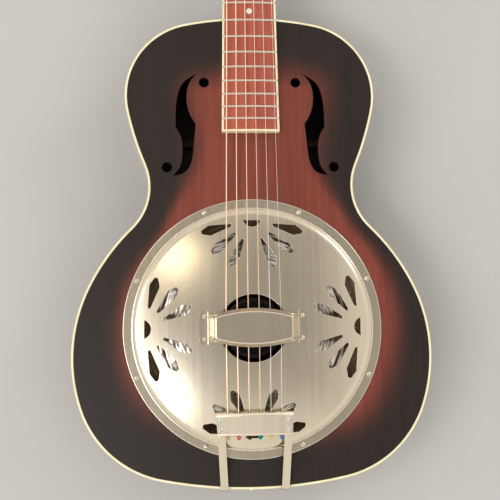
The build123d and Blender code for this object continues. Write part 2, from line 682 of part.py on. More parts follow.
def worm_gear():
    """Toothed wheel with a gap facing the worm."""
    root, tip = GEAR_PITCH_RADIUS - 0.7, GEAR_PITCH_RADIUS + 0.5
    blank = rod(root, GEAR_TOP - GEAR_FACE, GEAR_TOP)
    flanks = ((-0.72, root - 0.4), (-0.2, tip), (0.2, tip), (0.72, root - 0.4))
    tooth = prism(make_face(Polyline(*flanks, close=True)), GEAR_TOP - GEAR_FACE, GEAR_TOP)
    step = 360 / GEAR_TEETH
    for i in range(GEAR_TEETH):
        blank += Rot(0, 0, 180 + step * (i + 0.5)) * tooth
    return blank - rod(STUB_RADIUS, GEAR_TOP - 10, GEAR_TOP + 10)


def tuner_post():
    """Post through the headstock, its stub and the screw that holds the gear."""
    waist = lathe(
        (0, GEAR_TOP), (POST_RADIUS, GEAR_TOP), (POST_RADIUS, WINDING_Z - 1),
        (POST_WAIST_RADIUS, WINDING_Z), (POST_WAIST_RADIUS, 11.0), (POST_RADIUS, 11.6),
        (POST_RADIUS, POST_HEIGHT - 0.6), (2.4, POST_HEIGHT),
        (0, POST_HEIGHT),
    )
    gear_bottom = GEAR_TOP - GEAR_FACE
    stub = rod(STUB_RADIUS, gear_bottom, PLATE_BACK)
    string_hole = Pos(0, 0, 7.4) * Rot(0, 90, 0) * Cylinder(0.9, 10)
    screw = round_screw(3.0, 1.3, GEAR_SHANK_RADIUS, GEAR_SHANK_LENGTH)
    screw = Pos(0, 0, gear_bottom) * Rot(180, 0, 0) * screw
    screw_hole = rod(GEAR_SHANK_RADIUS, -40, gear_bottom + GEAR_SHANK_LENGTH)
    return [waist + stub - string_hole - screw_hole, screw]


def winding(radius):
    """Turns of string lying one on another round the post's waist."""
    return [
        Pos(0, 0, WINDING_Z + radius * (1 + 2.04 * i)) * Torus(POST_WAIST_RADIUS + radius, radius)
        for i in range(WINDING_TURNS)
    ]


def key():
    """Worm shaft with its thread and button, along X."""
    shaft = Rot(0, 90, 0) * rod(SHAFT_RADIUS, -SHAFT_HALF, KEY_X - 4)
    core = Rot(0, 90, 0) * rod(WORM_CORE_RADIUS, -4.4, 4.4)
    height = THREAD_TURNS * WORM_PITCH
    path = Helix(WORM_PITCH, height, WORM_PITCH_RADIUS, center=(0, 0, -height / 2))
    start = Plane((WORM_PITCH_RADIUS, 0, -height / 2), x_dir=(1, 0, 0), z_dir=(0, -1, 0))
    crest = WORM_RADIUS - WORM_PITCH_RADIUS
    flanks = ((-0.8, -0.55), (crest, -0.2), (crest, 0.2), (-0.8, 0.55))
    thread = sweep(start * make_face(Polyline(*flanks, close=True)), path, is_frenet=True)
    towards_gear = -1 if THREAD_TURNS % 2 else 1
    worm = core + Plane((0, 0, 0), x_dir=(0, towards_gear, 0), z_dir=(1, 0, 0)) * thread
    length, width, depth = KEY_SIZE
    oval = Plane.YZ * Ellipse(width / 2, depth / 2)
    button = extrude(Pos(KEY_X - length / 2, 0, 0) * oval, length, dir=(1, 0, 0))
    button = fillet(button.edges().filter_by(GeomType.ELLIPSE), 2.4)
    collar = Rot(0, 90, 0) * rod(2.6, KEY_X - 6.5, KEY_X - length / 2 + 0.5)
    return shaft + worm + button + collar


def tuner_plate():
    """Plate on the back of the headstock with two ears that carry the worm shaft."""
    plate = Pos(0, -1.5) * RectangleRounded(13.4, 33, 3)
    plate = prism(plate, PLATE_BACK, HEAD_BACK)
    ears = [
        block((x - 0.6, -WORM_OFFSET - 3, WORM_Z - 3), (x + 0.6, -WORM_OFFSET + 3, HEAD_BACK))
        for x in (-5.8, 5.8)
    ]
    plate += ears
    plate -= Pos(0, -WORM_OFFSET, WORM_Z) * Rot(0, 90, 0) * Cylinder(SHAFT_RADIUS + RUNNING_GAP, 20)
    plate -= [Pos(0, y) * rod(PLATE_SHANK_RADIUS, PLATE_BACK - 1, HEAD_BACK + 1) for y in PLATE_SCREWS_Y]
    return plate - rod(POST_RADIUS + RUNNING_GAP, -40, 0)


def tuner_screw_holes():
    """Pilot holes for the plates' screws."""
    hole = rod(PLATE_SHANK_RADIUS, HEAD_BACK - 1, HEAD_BACK + 7)
    return [head_frame * place * Pos(0, y) * hole for place in post_places() for y in PLATE_SCREWS_Y]


def build_tuners():
    """Six open tuners, those for the thick strings mirrored."""
    plate, gear, worm_key, post = tuner_plate(), worm_gear(), key(), tuner_post()
    screw = Rot(180, 0, 0) * round_screw(1.9, 1.0, PLATE_SHANK_RADIUS, 7.5)
    tube = ring(POST_RADIUS + RUNNING_GAP, POST_HOLE_RADIUS, -8, 0)
    bushing = tube + ring(POST_RADIUS + RUNNING_GAP, 6.6, 0, 2.2)
    worm_key = Pos(0, -WORM_OFFSET, WORM_Z) * worm_key
    plates, screws, bushings = [], [], []
    for string, place in enumerate(post_places(), 1):
        frame = head_frame * place
        if POSTS[string - 1][0] < 0:
            sided = [mirror(shape, Plane.YZ) for shape in (plate, gear, worm_key)]
        else:
            sided = [plate, gear, worm_key]
        plates.append(frame * sided[0])
        screws += [frame * Pos(0, y, PLATE_BACK) * screw for y in PLATE_SCREWS_Y]
        bushings.append(frame * bushing)
        coil = [frame * turn for turn in winding(STRING_RADII[string - 1])]
        parts[f"tuner_post_{string}"] = group([frame * shape for shape in post] + coil)
        parts[f"tuner_gear_{string}"] = frame * sided[1]
        parts[f"tuner_key_{string}"] = frame * sided[2]
    parts["tuner_plates"] = group(plates)
    parts["tuner_screws"] = group(screws)
    parts["tuner_bushings"] = group(bushings)


# ---- strings and tailpiece ----
def spaced(spread, string):
    """Sideways place of a string where the outer two are spread apart."""
    return spread * (0.5 - (string - 1) / 5)


def crown_drop(x):
    """How far the strings' outer ones lie lower, to match the fingerboard's crown."""
    return x**2 / (2 * BOARD_RADIUS)


def string_point(frame, spread, along, height, string):
    """Centre line of a string where it crosses the nut or the saddle."""
    x = spaced(spread, string)
    return frame * Pos(x, along, height - crown_drop(x))


def string_notches(corner):
    """Open round-bottomed grooves both ways from one corner of each string's route."""
    grooves = []
    for string, radius in enumerate(STRING_RADII, 1):
        route = string_route(string)
        width = radius + 0.1
        for neighbour in (corner - 1, corner + 1):
            along = Plane(route[corner], x_dir=(1, 0, 0), z_dir=route[neighbour] - route[corner])
            up = -4 if along.y_dir.Z < 0 else 4
            slot = block((-width, min(up, 0), -0.4), (width, max(up, 0), 8))
            grooves.append(along * (rod(width, -0.4, 8) + slot))
    return grooves


def string_route(string):
    """Corners of one string: ball end, saddle, nut and the start of its winding."""
    radius = STRING_RADII[string - 1]
    ball = Pos(spaced(TAIL_SPREAD, string), TAIL_PLATE_REAR_Y - 0.1, BALL_Z)
    saddle = string_point(Pos(0, 0, 0), SADDLE_SPREAD, 0, SADDLE_TOP_Z, string)
    nut = string_point(neck_frame, NUT_SPREAD, NUT_FACE + 0.7, STRING_HEIGHT_AT_NUT, string)
    post_x, along = POSTS[string - 1]
    inward = -1 if post_x > 0 else 1
    coil = POST_WAIST_RADIUS + radius
    gap = sqrt((coil + radius + 0.3) ** 2 - coil**2)
    end = head_frame * Pos(post_x + inward * coil, along - gap - 0.6, WINDING_Z + radius)
    return [place.position for place in (ball, saddle, nut, end)]


def build_strings():
    """Strings from their ball ends over the saddle and the nut to the posts."""
    strings = []
    for string, radius in enumerate(STRING_RADII, 1):
        path = FilletPolyline(*string_route(string), radius=[10, 3])
        section = Plane(path @ 0, z_dir=path % 0) * Circle(radius)
        strings.append(sweep(section, path))
    parts["plain_strings"] = group(strings[:PLAIN_STRINGS])
    parts["wound_strings"] = group(strings[PLAIN_STRINGS:])
    spool = lathe(
        (0.7, -1.6), (BALL_RADIUS, -1.6), (BALL_RADIUS, -0.9), (1.5, -0.4), (1.5, 0.4),
        (BALL_RADIUS, 0.9), (BALL_RADIUS, 1.6), (0.7, 1.6),
    )
    balls = []
    for string in range(1, 7):
        ball_y = TAIL_PLATE_REAR_Y - BALL_RADIUS
        balls.append(Pos(spaced(TAIL_SPREAD, string), ball_y, BALL_Z) * spool)
    parts["ball_ends"] = group(balls)


def build_tailpiece():
    """Folded plate that holds the ball ends, riveted to a forked frame, and the strap button."""
    low, high = TAIL_PLATE_TOP_Z - TAIL_SHEET, TAIL_PLATE_TOP_Z
    x, front, rear = TAIL_PLATE_HALF_WIDTH, TAIL_PLATE_FRONT_Y, TAIL_PLATE_REAR_Y
    lip = high - 7.5
    profile = FilletPolyline(
        (front - TAIL_SHEET / 2, lip), (front - TAIL_SHEET / 2, (low + high) / 2),
        (rear + TAIL_SHEET / 2, (low + high) / 2), (rear + TAIL_SHEET / 2, lip + 1),
        radius=[TAIL_PLATE_BEND, 1.5],
    )
    plate = extrude(Plane.YZ * trace(profile, TAIL_SHEET), x, both=True)
    narrow = x - TAIL_PLATE_TAPER
    corners = ((-x, front + 1), (x, front + 1), (narrow, rear - 1), (-narrow, rear - 1))
    plate &= prism(make_face(Polyline(*corners, close=True)), 0, 40)
    for side in (-1, 1):
        outer, inner = sorted((side * (x + 1), side * (ARM_INNER_X - 0.3)))
        plate -= block((outer, rear - 1, 0), (inner, rear + TAIL_SHEET + 1, low))
    for string, radius in enumerate(STRING_RADII, 1):
        at = spaced(TAIL_SPREAD, string)
        plate -= block((at - 1.1, rear - 2, 0), (at + 1.1, rear + 4, BALL_Z + radius + 0.3))
        plate -= block((at - 1.1, front - 4, 0), (at + 1.1, front + 2, low - 0.2))
    rivets = [Pos(side * RIVET_X, y) for side in (-1, 1) for y in RIVET_PLACES]
    holes = [place * rod(RIVET_RADIUS, 0, 30) for place in rivets]
    parts["tailpiece_plate"] = plate - holes

    edge = TAIL_Y - 0.4 - ARM_SHEET / 2
    side_profile = FilletPolyline(
        (front - TAIL_PLATE_BEND - 1, low - ARM_SHEET / 2), (rear, low - ARM_SHEET / 2),
        (TAIL_Y + 1.5, 3.2), (edge, -1.0), (edge, BUTTON_Z - 11), radius=[6, 2.5, 2.5],
    )
    strap = extrude(Plane.YZ * trace(side_profile, ARM_SHEET), 60, both=True)
    arm = make_face(Polyline(
        (ARM_INNER_X, front), (ARM_OUTER_X, front), (ARM_OUTER_X, rear),
        (ARM_OUTER_X - ARM_TAPER, TAIL_Y), (ARM_OUTER_X - ARM_TAPER, TAIL_Y - 9),
        (ARM_INNER_X - ARM_TAPER, TAIL_Y - 9), (ARM_INNER_X - ARM_TAPER, TAIL_Y),
        (ARM_INNER_X, rear), close=True,
    ))
    frame = strap & both_sides(prism(arm, BUTTON_Z - 20, 30))
    across = ARM_OUTER_X - ARM_TAPER
    half = ARM_SHEET / 2
    bar = block((-across, edge - half, BUTTON_Z - 11), (across, edge + half, BUTTON_Z + 11))
    screw_hole = Pos(0, TAIL_Y - 10, BUTTON_Z) * Rot(-90, 0, 0) * rod(FIXING_SHANK_RADIUS, 0, 40)
    parts["tailpiece_frame"] = frame + bar - screw_hole - holes

    rivet = round_screw(2.8, 1.4, RIVET_RADIUS, TAIL_SHEET + ARM_SHEET) + rod(2.0, 0, 1.0)
    parts["tailpiece_rivets"] = group([place * Pos(0, 0, high) * rivet for place in rivets])

    seat = Pos(0, edge - half, BUTTON_Z) * Rot(90, 0, 0)
    button = lathe(
        (2.0, 0), (7.0, 0), (6.6, 1.0), (4.6, 2.4), (4.6, BUTTON_HEIGHT - 3.6),
        (7.5, BUTTON_HEIGHT - 2.2), (7.5, BUTTON_HEIGHT - 0.5), (7.0, BUTTON_HEIGHT),
        (2.0, BUTTON_HEIGHT),
    )
    parts["strap_button"] = seat * button
    screw = round_screw(3.6, 1.4, FIXING_SHANK_RADIUS, FIXING_SCREW_LENGTH)
    parts["strap_button_screw"] = seat * Pos(0, 0, BUTTON_HEIGHT) * screw


def export_parts():
    """Move the guitar over the middle of its footprint, standing on Z = 0, and write it."""
    whole = Compound(children=[Compound(children=shape.solids()) for shape in parts.values()])
    box = whole.bounding_box()
    home = Pos(-box.center().X, -box.center().Y, -box.min.Z)
    print("shift", home.position, "size", box.size)
    for name, shape in parts.items():
        export_step(home * Compound(children=shape.solids()), f"parts/{name}.step")
    for string, place in enumerate(post_places(), 1):
        post = home * head_frame * place
        print("post", string, post.position, (post * Pos(0, 0, 1)).position - post.position)
        print("key", string, (post * Pos(0, -WORM_OFFSET, WORM_Z)).position)


os.makedirs("parts", exist_ok=True)
build_body()
build_cover()
build_cone()
build_hand_rest()
build_fingerboard()
build_neck()
build_tuners()
build_strings()
build_tailpiece()
export_parts()
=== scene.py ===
import json
import math

import bpy
import numpy as np
from mathutils import Matrix, Vector
from mathutils.geometry import delaunay_2d_cdt


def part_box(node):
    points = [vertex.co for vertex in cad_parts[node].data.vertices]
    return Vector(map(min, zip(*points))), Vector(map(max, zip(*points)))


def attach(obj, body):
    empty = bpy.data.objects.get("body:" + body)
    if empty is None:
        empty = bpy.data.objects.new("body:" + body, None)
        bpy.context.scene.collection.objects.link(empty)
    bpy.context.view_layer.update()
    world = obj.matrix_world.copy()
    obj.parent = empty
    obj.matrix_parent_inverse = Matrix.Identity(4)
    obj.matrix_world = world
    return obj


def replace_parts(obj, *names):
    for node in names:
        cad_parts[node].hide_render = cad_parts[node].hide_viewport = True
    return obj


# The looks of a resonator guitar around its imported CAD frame. Shapes are written in
# millimetres about the saddle, as in the CAD source: X to the thin strings, Y to the head,
# Z out of the soundboard, whose face is Z = 0. at() turns them into the frame's metres.

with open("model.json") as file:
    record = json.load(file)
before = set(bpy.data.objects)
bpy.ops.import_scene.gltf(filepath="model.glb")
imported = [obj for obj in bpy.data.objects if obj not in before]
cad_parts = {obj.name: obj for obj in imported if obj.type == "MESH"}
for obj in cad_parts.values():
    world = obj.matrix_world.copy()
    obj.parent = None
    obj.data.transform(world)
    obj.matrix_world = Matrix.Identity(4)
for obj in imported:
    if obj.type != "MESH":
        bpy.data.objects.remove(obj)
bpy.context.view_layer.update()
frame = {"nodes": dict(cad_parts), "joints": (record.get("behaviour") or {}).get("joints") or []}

ROOT = "guitar"
MM = 0.001
MICRON = 0.000001
saddle_low, saddle_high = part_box("saddle")
ORIGIN = (saddle_low + saddle_high) / 2
ORIGIN.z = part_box("body_top")[1].z


def at(x, y, z):
    """A place in millimetres about the saddle, in the frame's metres."""
    return ORIGIN + MM * Vector((x, y, z))


# ---- materials ----
class Paint:
    """A material with short ways to add and join its nodes."""

    def __init__(self, name, **sockets):
        self.material = bpy.data.materials.new(name)
        self.material.use_nodes = True
        self.tree = self.material.node_tree
        self.surface = self.tree.nodes["Principled BSDF"]
        for key, value in sockets.items():
            self.surface.inputs[key.replace("_", " ")].default_value = value

    def add(self, kind, settings=None, **inputs):
        """A new node with its settings and the values or links of its inputs."""
        node = self.tree.nodes.new(kind)
        for key, value in (settings or {}).items():
            setattr(node, key, value)
        for key, value in inputs.items():
            self.put(node.inputs[key.replace("_", " ")], value)
        return node

    def put(self, socket, value):
        """Link a node's output to a socket, or set the socket's own value."""
        if isinstance(value, bpy.types.NodeSocket):
            self.tree.links.new(value, socket)
        else:
            socket.default_value = value

    def place(self, scale=(1, 1, 1)):
        """Coordinates in the object's own metres, stretched by a scale."""
        where = self.add("ShaderNodeTexCoord").outputs["Object"]
        return self.add("ShaderNodeMapping", Vector=where, Scale=scale).outputs[0]

    def noise(self, where, scale, detail, roughness, distortion=0.0):
        node = self.add(
            "ShaderNodeTexNoise", Vector=where, Scale=scale, Detail=detail,
            Roughness=roughness, Distortion=distortion,
        )
        return node.outputs["Fac"]

    def ramp(self, factor, *stops):
        """Colours or greys at places from 0 to 1."""
        node = self.add("ShaderNodeValToRGB", Fac=factor)
        elements = node.color_ramp.elements
        while len(elements) < len(stops):
            elements.new(0.5)
        for element, (place, colour) in zip(elements, stops):
            element.position = place
            grey = not isinstance(colour, tuple)
            element.color = (colour, colour, colour, 1) if grey else (*colour, 1)
        return node.outputs["Color"]

    def mix(self, factor, first, second):
        """One colour at factor 0 and another at 1."""
        node = self.add("ShaderNodeMix", {"data_type": "RGBA"})
        # Of the node's sockets, these are the factor and the two colours.
        sockets = node.inputs[0], node.inputs[6], node.inputs[7]
        for socket, value in zip(sockets, (factor, first, second)):
            if isinstance(value, tuple):
                value = (*value, 1)
            self.put(socket, value)
        return node.outputs[2]

    def math(self, operation, *values):
        node = self.add("ShaderNodeMath", {"operation": operation})
        for socket, value in zip(node.inputs, values):
            self.put(socket, value)
        return node.outputs[0]

    def spread(self, factor, low, high):
        """A 0 to 1 factor turned into a range of values."""
        return self.add("ShaderNodeMapRange", Value=factor, To_Min=low, To_Max=high).outputs[0]

    def bump(self, height, depth, strength=1.0, under=None):
        inputs = {"Height": height, "Distance": depth, "Strength": strength}
        if under is not None:
            inputs["Normal"] = under
        return self.add("ShaderNodeBump", **inputs).outputs[0]

    def colour(self, value):
        self.put(self.surface.inputs["Base Color"], value)

    def rough(self, value):
        self.put(self.surface.inputs["Roughness"], value)

    def normal(self, value):
        self.put(self.surface.inputs["Normal"], value)


STREAK_SHARE, PORE_SHARE = 0.035, 0.09
STREAKS_PER_M, BANDS_PER_M, PORES_PER_M = 260, 38, 1500


def drawn_out(along, share):
    """A scale that draws a pattern out along X or Y."""
    return {"Y": (1, share, 1), "X": (share, 1, 1)}[along]


def grain(paint, along="Y", size=1.0):
    """Long streaks, broad bands and short pores of a wood, running along X or Y."""
    where = paint.place(drawn_out(along, STREAK_SHARE))
    streaks = paint.noise(where, STREAKS_PER_M / size, 6, 0.6, 0.4)
    broad = paint.noise(where, BANDS_PER_M / size, 3, 0.5, 0.8)
    pores = paint.noise(paint.place(drawn_out(along, PORE_SHARE)), PORES_PER_M / size, 2, 0.5)
    return streaks, broad, pores


def open_pores(paint, pores):
    """Where the wood's pores lie open, from 0 to 1."""
    return paint.ramp(pores, (0.30, 1.0), (0.42, 0.0))


def wood(name, dark, light, rough, along, size, pore_microns, shine=0.4):
    """A wood of two tones with streaks, broad bands and open pores."""
    paint = Paint(name, Specular_IOR_Level=shine)
    streaks, broad, pores = grain(paint, along, size)
    fine = paint.ramp(streaks, (0.3, 0.0), (0.72, 1.0))
    tone = paint.mix(0.5, fine, paint.ramp(broad, (0.3, 0.0), (0.7, 1.0)))
    body = paint.mix(tone, dark, light)
    hole = open_pores(paint, pores)
    shade = tuple(0.45 * c for c in dark)
    paint.colour(paint.mix(paint.math("MULTIPLY", hole, 0.55), body, shade))
    paint.rough(paint.spread(streaks, rough - 0.05, rough + 0.09))
    paint.normal(paint.bump(paint.math("SUBTRACT", 1.0, hole), pore_microns * MICRON, 0.5))
    return paint.material


BURST_ROUGH = 0.40
BURST_CLOUD = 0.12


def burst_wood(name):
    """Mahogany under a satin sunburst: near black at the rim and red-brown inside."""
    paint = Paint(name, Specular_IOR_Level=0.32)
    streaks, broad, pores = grain(paint)
    fine = paint.ramp(streaks, (0.28, 0.0), (0.74, 1.0))
    tone = paint.mix(0.45, fine, paint.ramp(broad, (0.32, 0.0), (0.68, 1.0)))
    centre = paint.mix(tone, (0.120, 0.023, 0.016), (0.240, 0.051, 0.034))
    rim = paint.mix(tone, (0.0105, 0.0068, 0.0055), (0.0165, 0.0098, 0.0075))
    amount = paint.add("ShaderNodeAttribute", {"attribute_name": "burst"}).outputs["Fac"]
    cloud = paint.noise(paint.place((1, 0.4, 1)), 24, 3, 0.6)
    drift = paint.math("MULTIPLY", paint.math("SUBTRACT", cloud, 0.5), BURST_CLOUD)
    amount = paint.math("ADD", amount, drift)
    share = paint.ramp(amount, (0.0, 0.0), (0.25, 0.08), (0.5, 0.27), (0.75, 0.60), (1.0, 1.0))
    hole = open_pores(paint, pores)
    body = paint.mix(share, rim, centre)
    paint.colour(paint.mix(paint.math("MULTIPLY", hole, 0.35), body, (0.01, 0.005, 0.004)))
    paint.rough(paint.spread(streaks, BURST_ROUGH - 0.04, BURST_ROUGH + 0.07))
    paint.normal(paint.bump(paint.math("SUBTRACT", 1.0, hole), 40 * MICRON, 0.4))
    return paint.material


BRUSH_STRETCH = (1, 0.012, 0.3)
BRUSH_TINT = 0.05


def brushed(name, colour, rough=0.23):
    """Satin nickel brushed along Y, with faint stains."""
    paint = Paint(name, Metallic=1.0)
    where = paint.place(BRUSH_STRETCH)
    lines = paint.noise(where, 1900, 3, 0.7)
    bands = paint.noise(where, 240, 3, 0.6)
    stains = paint.noise(paint.place(), 16, 3, 0.55)
    darker = tuple(c * (1 - BRUSH_TINT * 2.2) for c in colour)
    lighter = tuple(min(1.0, c * (1 + BRUSH_TINT)) for c in colour)
    fine = paint.ramp(lines, (0.25, 0.0), (0.75, 1.0))
    tone = paint.mix(0.6, fine, paint.ramp(bands, (0.3, 0.0), (0.7, 1.0)))
    paint.colour(paint.mix(paint.mix(0.35, tone, stains), darker, lighter))
    paint.rough(paint.spread(paint.mix(0.5, bands, stains), rough - 0.06, rough + 0.06))
    paint.normal(paint.bump(lines, 3 * MICRON, 0.6))
    return paint.material


def bright(name, colour, rough=0.16, speck=0.1):
    """Plated or turned metal with faint wear."""
    paint = Paint(name, Metallic=1.0)
    where = paint.place()
    wear = paint.noise(where, 420, 5, 0.65)
    haze = paint.noise(where, 60, 3, 0.5)
    darker = tuple(c * (1 - 2 * speck) for c in colour)
    paint.colour(paint.mix(paint.ramp(wear, (0.3, 0.0), (0.62, 1.0)), darker, colour))
    paint.rough(paint.spread(haze, rough * 0.7, rough * 1.6))
    paint.normal(paint.bump(wear, 6 * MICRON, 0.5))
    return paint.material


def plastic(name, colour, other, rough=0.32, scale=70):
    """Celluloid or plastic with faint clouds and fine scuffs."""
    paint = Paint(name, Subsurface_Weight=0.08, Subsurface_Scale=0.002)
    cloud = paint.noise(paint.place((1, 0.25, 1)), scale, 4, 0.6, 0.5)
    scuff = paint.noise(paint.place(), 900, 3, 0.6)
    paint.colour(paint.mix(paint.ramp(cloud, (0.3, 0.0), (0.7, 1.0)), colour, other))
    paint.rough(paint.spread(scuff, rough - 0.06, rough + 0.1))
    paint.normal(paint.bump(scuff, 10 * MICRON, 0.35))
    return paint.material


# Painted shade on the cone round the saddle: full within the inner radius, none past the outer, in metres.
PAINTED_SHADE_INNER, PAINTED_SHADE_OUTER = 0.034, 0.040


def spun(name, colour):
    """Thin aluminium spun on a lathe about the saddle, with painted shade near black round the saddle, where
    the cone lies in shade under the biscuit and hand rest.
    """
    paint = Paint(name, Metallic=1.0)
    where = paint.add("ShaderNodeTexCoord").outputs["Object"]
    from_saddle = paint.add("ShaderNodeMapping", Vector=where, Location=tuple(-ORIGIN)).outputs[0]
    flat = paint.add("ShaderNodeVectorMath", {"operation": "MULTIPLY"})
    paint.put(flat.inputs[0], from_saddle)
    flat.inputs[1].default_value = (1, 1, 0)
    radius = paint.add("ShaderNodeVectorMath", {"operation": "LENGTH"})
    paint.put(radius.inputs[0], flat.outputs[0])
    line = paint.add("ShaderNodeCombineXYZ", X=radius.outputs["Value"]).outputs[0]
    grooves = paint.noise(line, 380, 3, 0.6)
    patches = paint.noise(paint.place(), 45, 3, 0.6)
    # Painted shade: near black within 34 mm of the saddle, fading to the metal's own colour by 40 mm, where
    # the cone lies in shade under the hand rest.
    out_of_painted_shade = paint.add(
        "ShaderNodeMapRange", Value=radius.outputs["Value"],
        From_Min=PAINTED_SHADE_INNER, From_Max=PAINTED_SHADE_OUTER,
    )
    body = paint.mix(grooves, tuple(0.8 * c for c in colour), colour)
    paint.colour(paint.mix(out_of_painted_shade.outputs[0], (0.03, 0.026, 0.024), body))
    paint.rough(paint.spread(patches, 0.14, 0.36))
    waves = paint.bump(paint.noise(paint.place(), 55, 2, 0.5), 1500 * MICRON)
    paint.normal(paint.bump(grooves, 80 * MICRON, 0.5, under=waves))
    return paint.material


NICKEL = (0.67, 0.60, 0.48)
burst_top = burst_wood("sunburst_mahogany")
dark_side = wood("dark_mahogany", (0.012, 0.0075, 0.006), (0.026, 0.013, 0.009), 0.40, "Y", 1.0, 40)
neck_wood = wood("neck_mahogany", (0.020, 0.010, 0.007), (0.052, 0.021, 0.013), 0.38, "Y", 1.0, 40)
padauk = wood("padauk_board", (0.260, 0.052, 0.034), (0.510, 0.135, 0.090), 0.5, "Y", 0.8, 90, 0.2)
SPRUCE_TONES = (0.10, 0.060, 0.030), (0.16, 0.10, 0.055)
spruce = wood("bare_spruce", *SPRUCE_TONES, 0.65, "Y", 1.4, 30)
spruce_across = wood("bare_spruce_across", *SPRUCE_TONES, 0.65, "X", 1.4, 30)
maple = wood("bare_maple", (0.25, 0.155, 0.08), (0.38, 0.26, 0.15), 0.5, "X", 0.9, 20)
# The biscuit's black stain, made darker than any stain and nearly without shine as painted shade, since it
# sits in the shade under the hand rest.
black_shaded_maple = wood(
    "black_stained_shaded_maple", (0.0015, 0.001, 0.001), (0.003, 0.002, 0.002), 0.7, "X", 0.9, 30, 0.1,
)
veneer_wood = wood("black_veneer", (0.007, 0.005, 0.005), (0.018, 0.012, 0.010), 0.33, "Y", 0.8, 30)
cream = plastic("cream_binding", (0.86, 0.80, 0.56), (0.74, 0.66, 0.42))
pearl = plastic("pearl_dots", (0.88, 0.84, 0.68), (0.68, 0.66, 0.56), 0.2, 500)
bone = plastic("bone_nut", (0.80, 0.74, 0.58), (0.66, 0.58, 0.42), 0.34, 160)
black_plastic = plastic("black_plastic", (0.012, 0.012, 0.012), (0.022, 0.021, 0.02), 0.22)
nickel_y = brushed("brushed_nickel_along", NICKEL)
nickel_light = brushed("brushed_nickel_light", (0.85, 0.75, 0.61), 0.34)
nickel_bright = bright("bright_nickel", (0.78, 0.75, 0.67))
worn_nickel = bright("worn_nickel_screws", (0.66, 0.60, 0.50), 0.3)
steel = bright("plated_steel", (0.62, 0.61, 0.58), 0.25)
fret_metal = bright("nickel_silver", (0.80, 0.77, 0.68), 0.14, 0.06)
string_steel = bright("string_steel", (0.92, 0.90, 0.93), 0.3, 0.04)
bronze = bright("string_bronze", (0.97, 0.74, 0.56), 0.34, 0.06)
brass = bright("gear_brass", (0.70, 0.50, 0.22), 0.28, 0.12)
aluminium = spun("spun_aluminium", (0.82, 0.78, 0.70))

NODE_LOOKS = {
    "bass_side": dark_side, "treble_side": dark_side, "top_binding": cream, "back_binding": cream,
    "fingerboard_binding": cream, "linings": spruce, "neck_block": maple, "tail_block": maple,
    "neck_stick": spruce, "back_braces": spruce_across, "top_braces": spruce_across,
    "soundwell": maple, "neck": neck_wood, "headstock_veneer": veneer_wood, "fingerboard": padauk,
    "frets": fret_metal, "position_dots": pearl, "nut": bone, "truss_rod": steel,
    "truss_rod_cover": black_plastic, "truss_rod_cover_screws": nickel_bright,
    "cover_plate_screws": worn_nickel, "hand_rest_screws": worn_nickel,
    "biscuit": black_shaded_maple, "saddle": maple, "biscuit_screw": steel, "plain_strings": string_steel,
    "tuner_plates": nickel_y, "tuner_screws": nickel_bright, "tuner_bushings": nickel_bright,
    "tailpiece_plate": nickel_light, "tailpiece_frame": nickel_y, "tailpiece_rivets": nickel_bright,
    "strap_button": nickel_bright, "strap_button_screw": nickel_bright,
}
for i in range(1, 7):
    NODE_LOOKS[f"tuner_gear_{i}"] = brass
    NODE_LOOKS[f"tuner_key_{i}"] = nickel_bright


def dress(node, material):
    """Give a CAD node one material in all its slots."""
    mesh = frame["nodes"][node].data
    mesh.materials.clear()
    mesh.materials.append(material)


for node_name, look in NODE_LOOKS.items():
    dress(node_name, look)


WELD_REACH = 10 * MICRON
EDGE_ANGLE = math.radians(35)


def soften(node, width):
    """Round a CAD node's sharp edges a little, as worn or buffed edges are."""
    piece = frame["nodes"][node]
    weld = piece.modifiers.new("weld", "WELD")
    weld.merge_threshold = WELD_REACH
    bevel = piece.modifiers.new("bevel", "BEVEL")
    bevel.width = width * MM
    bevel.segments = 2
    bevel.limit_method = "ANGLE"
    bevel.angle_limit = EDGE_ANGLE


# ---- making meshes ----
CIRCLE_POINTS_AT_LEAST = 16
ROW_SHARE = 0.87
EDGE_CLEARANCE = 0.45
SAME_POINT = 1e-4


def piece_from(name, points, faces, material, replaces=(), body=ROOT, sharp=38.0):
    """A piece from points in millimetres, smooth except across its sharp edges."""
    mesh = bpy.data.meshes.new(name)
    mesh.from_pydata([at(*point) for point in points], [], [tuple(int(i) for i in f) for f in faces])
    mesh.validate()
    mesh.materials.append(material)
    mesh.shade_smooth()
    mesh.set_sharp_from_angle(angle=math.radians(sharp))
    piece = bpy.data.objects.new(name, mesh)
    bpy.context.scene.collection.objects.link(piece)
    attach(piece, body)
    if replaces:
        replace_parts(piece, *replaces)
    return piece


def weigh(piece):
    """Keep a sheet's broad faces evenly shaded beside its narrow rounded edges."""
    normals = piece.modifiers.new("normals", "WEIGHTED_NORMAL")
    normals.keep_sharp = True


def circle(radius, centre=(0, 0), step=2.5):
    """Points round a circle, counterclockwise."""
    count = max(CIRCLE_POINTS_AT_LEAST, round(2 * math.pi * radius / step))
    turn = 2 * math.pi / count
    return [
        (centre[0] + radius * math.cos(i * turn), centre[1] + radius * math.sin(i * turn))
        for i in range(count)
    ]


def evenly(loop, step):
    """A closed outline with its straight stretches cut into short ones."""
    points = []
    for a, b in zip(loop, loop[1:] + loop[:1]):
        count = max(1, round(math.dist(a, b) / step))
        for i in range(count):
            share = i / count
            points.append((a[0] + (b[0] - a[0]) * share, a[1] + (b[1] - a[1]) * share))
    return points


def grown(loop, distance):
    """A closed counterclockwise outline moved outwards."""
    points = []
    for before, here, after in zip(loop[-1:] + loop[:-1], loop, loop[1:] + loop[:1]):
        a = Vector((here[0] - before[0], here[1] - before[1])).normalized()
        b = Vector((after[0] - here[0], after[1] - here[1])).normalized()
        normal = Vector((a.y + b.y, -a.x - b.x)).normalized()
        stretch = 1 / max(0.5, normal.dot(Vector((a.y, -a.x))))
        points.append((here[0] + normal.x * distance * stretch, here[1] + normal.y * distance * stretch))
    return points


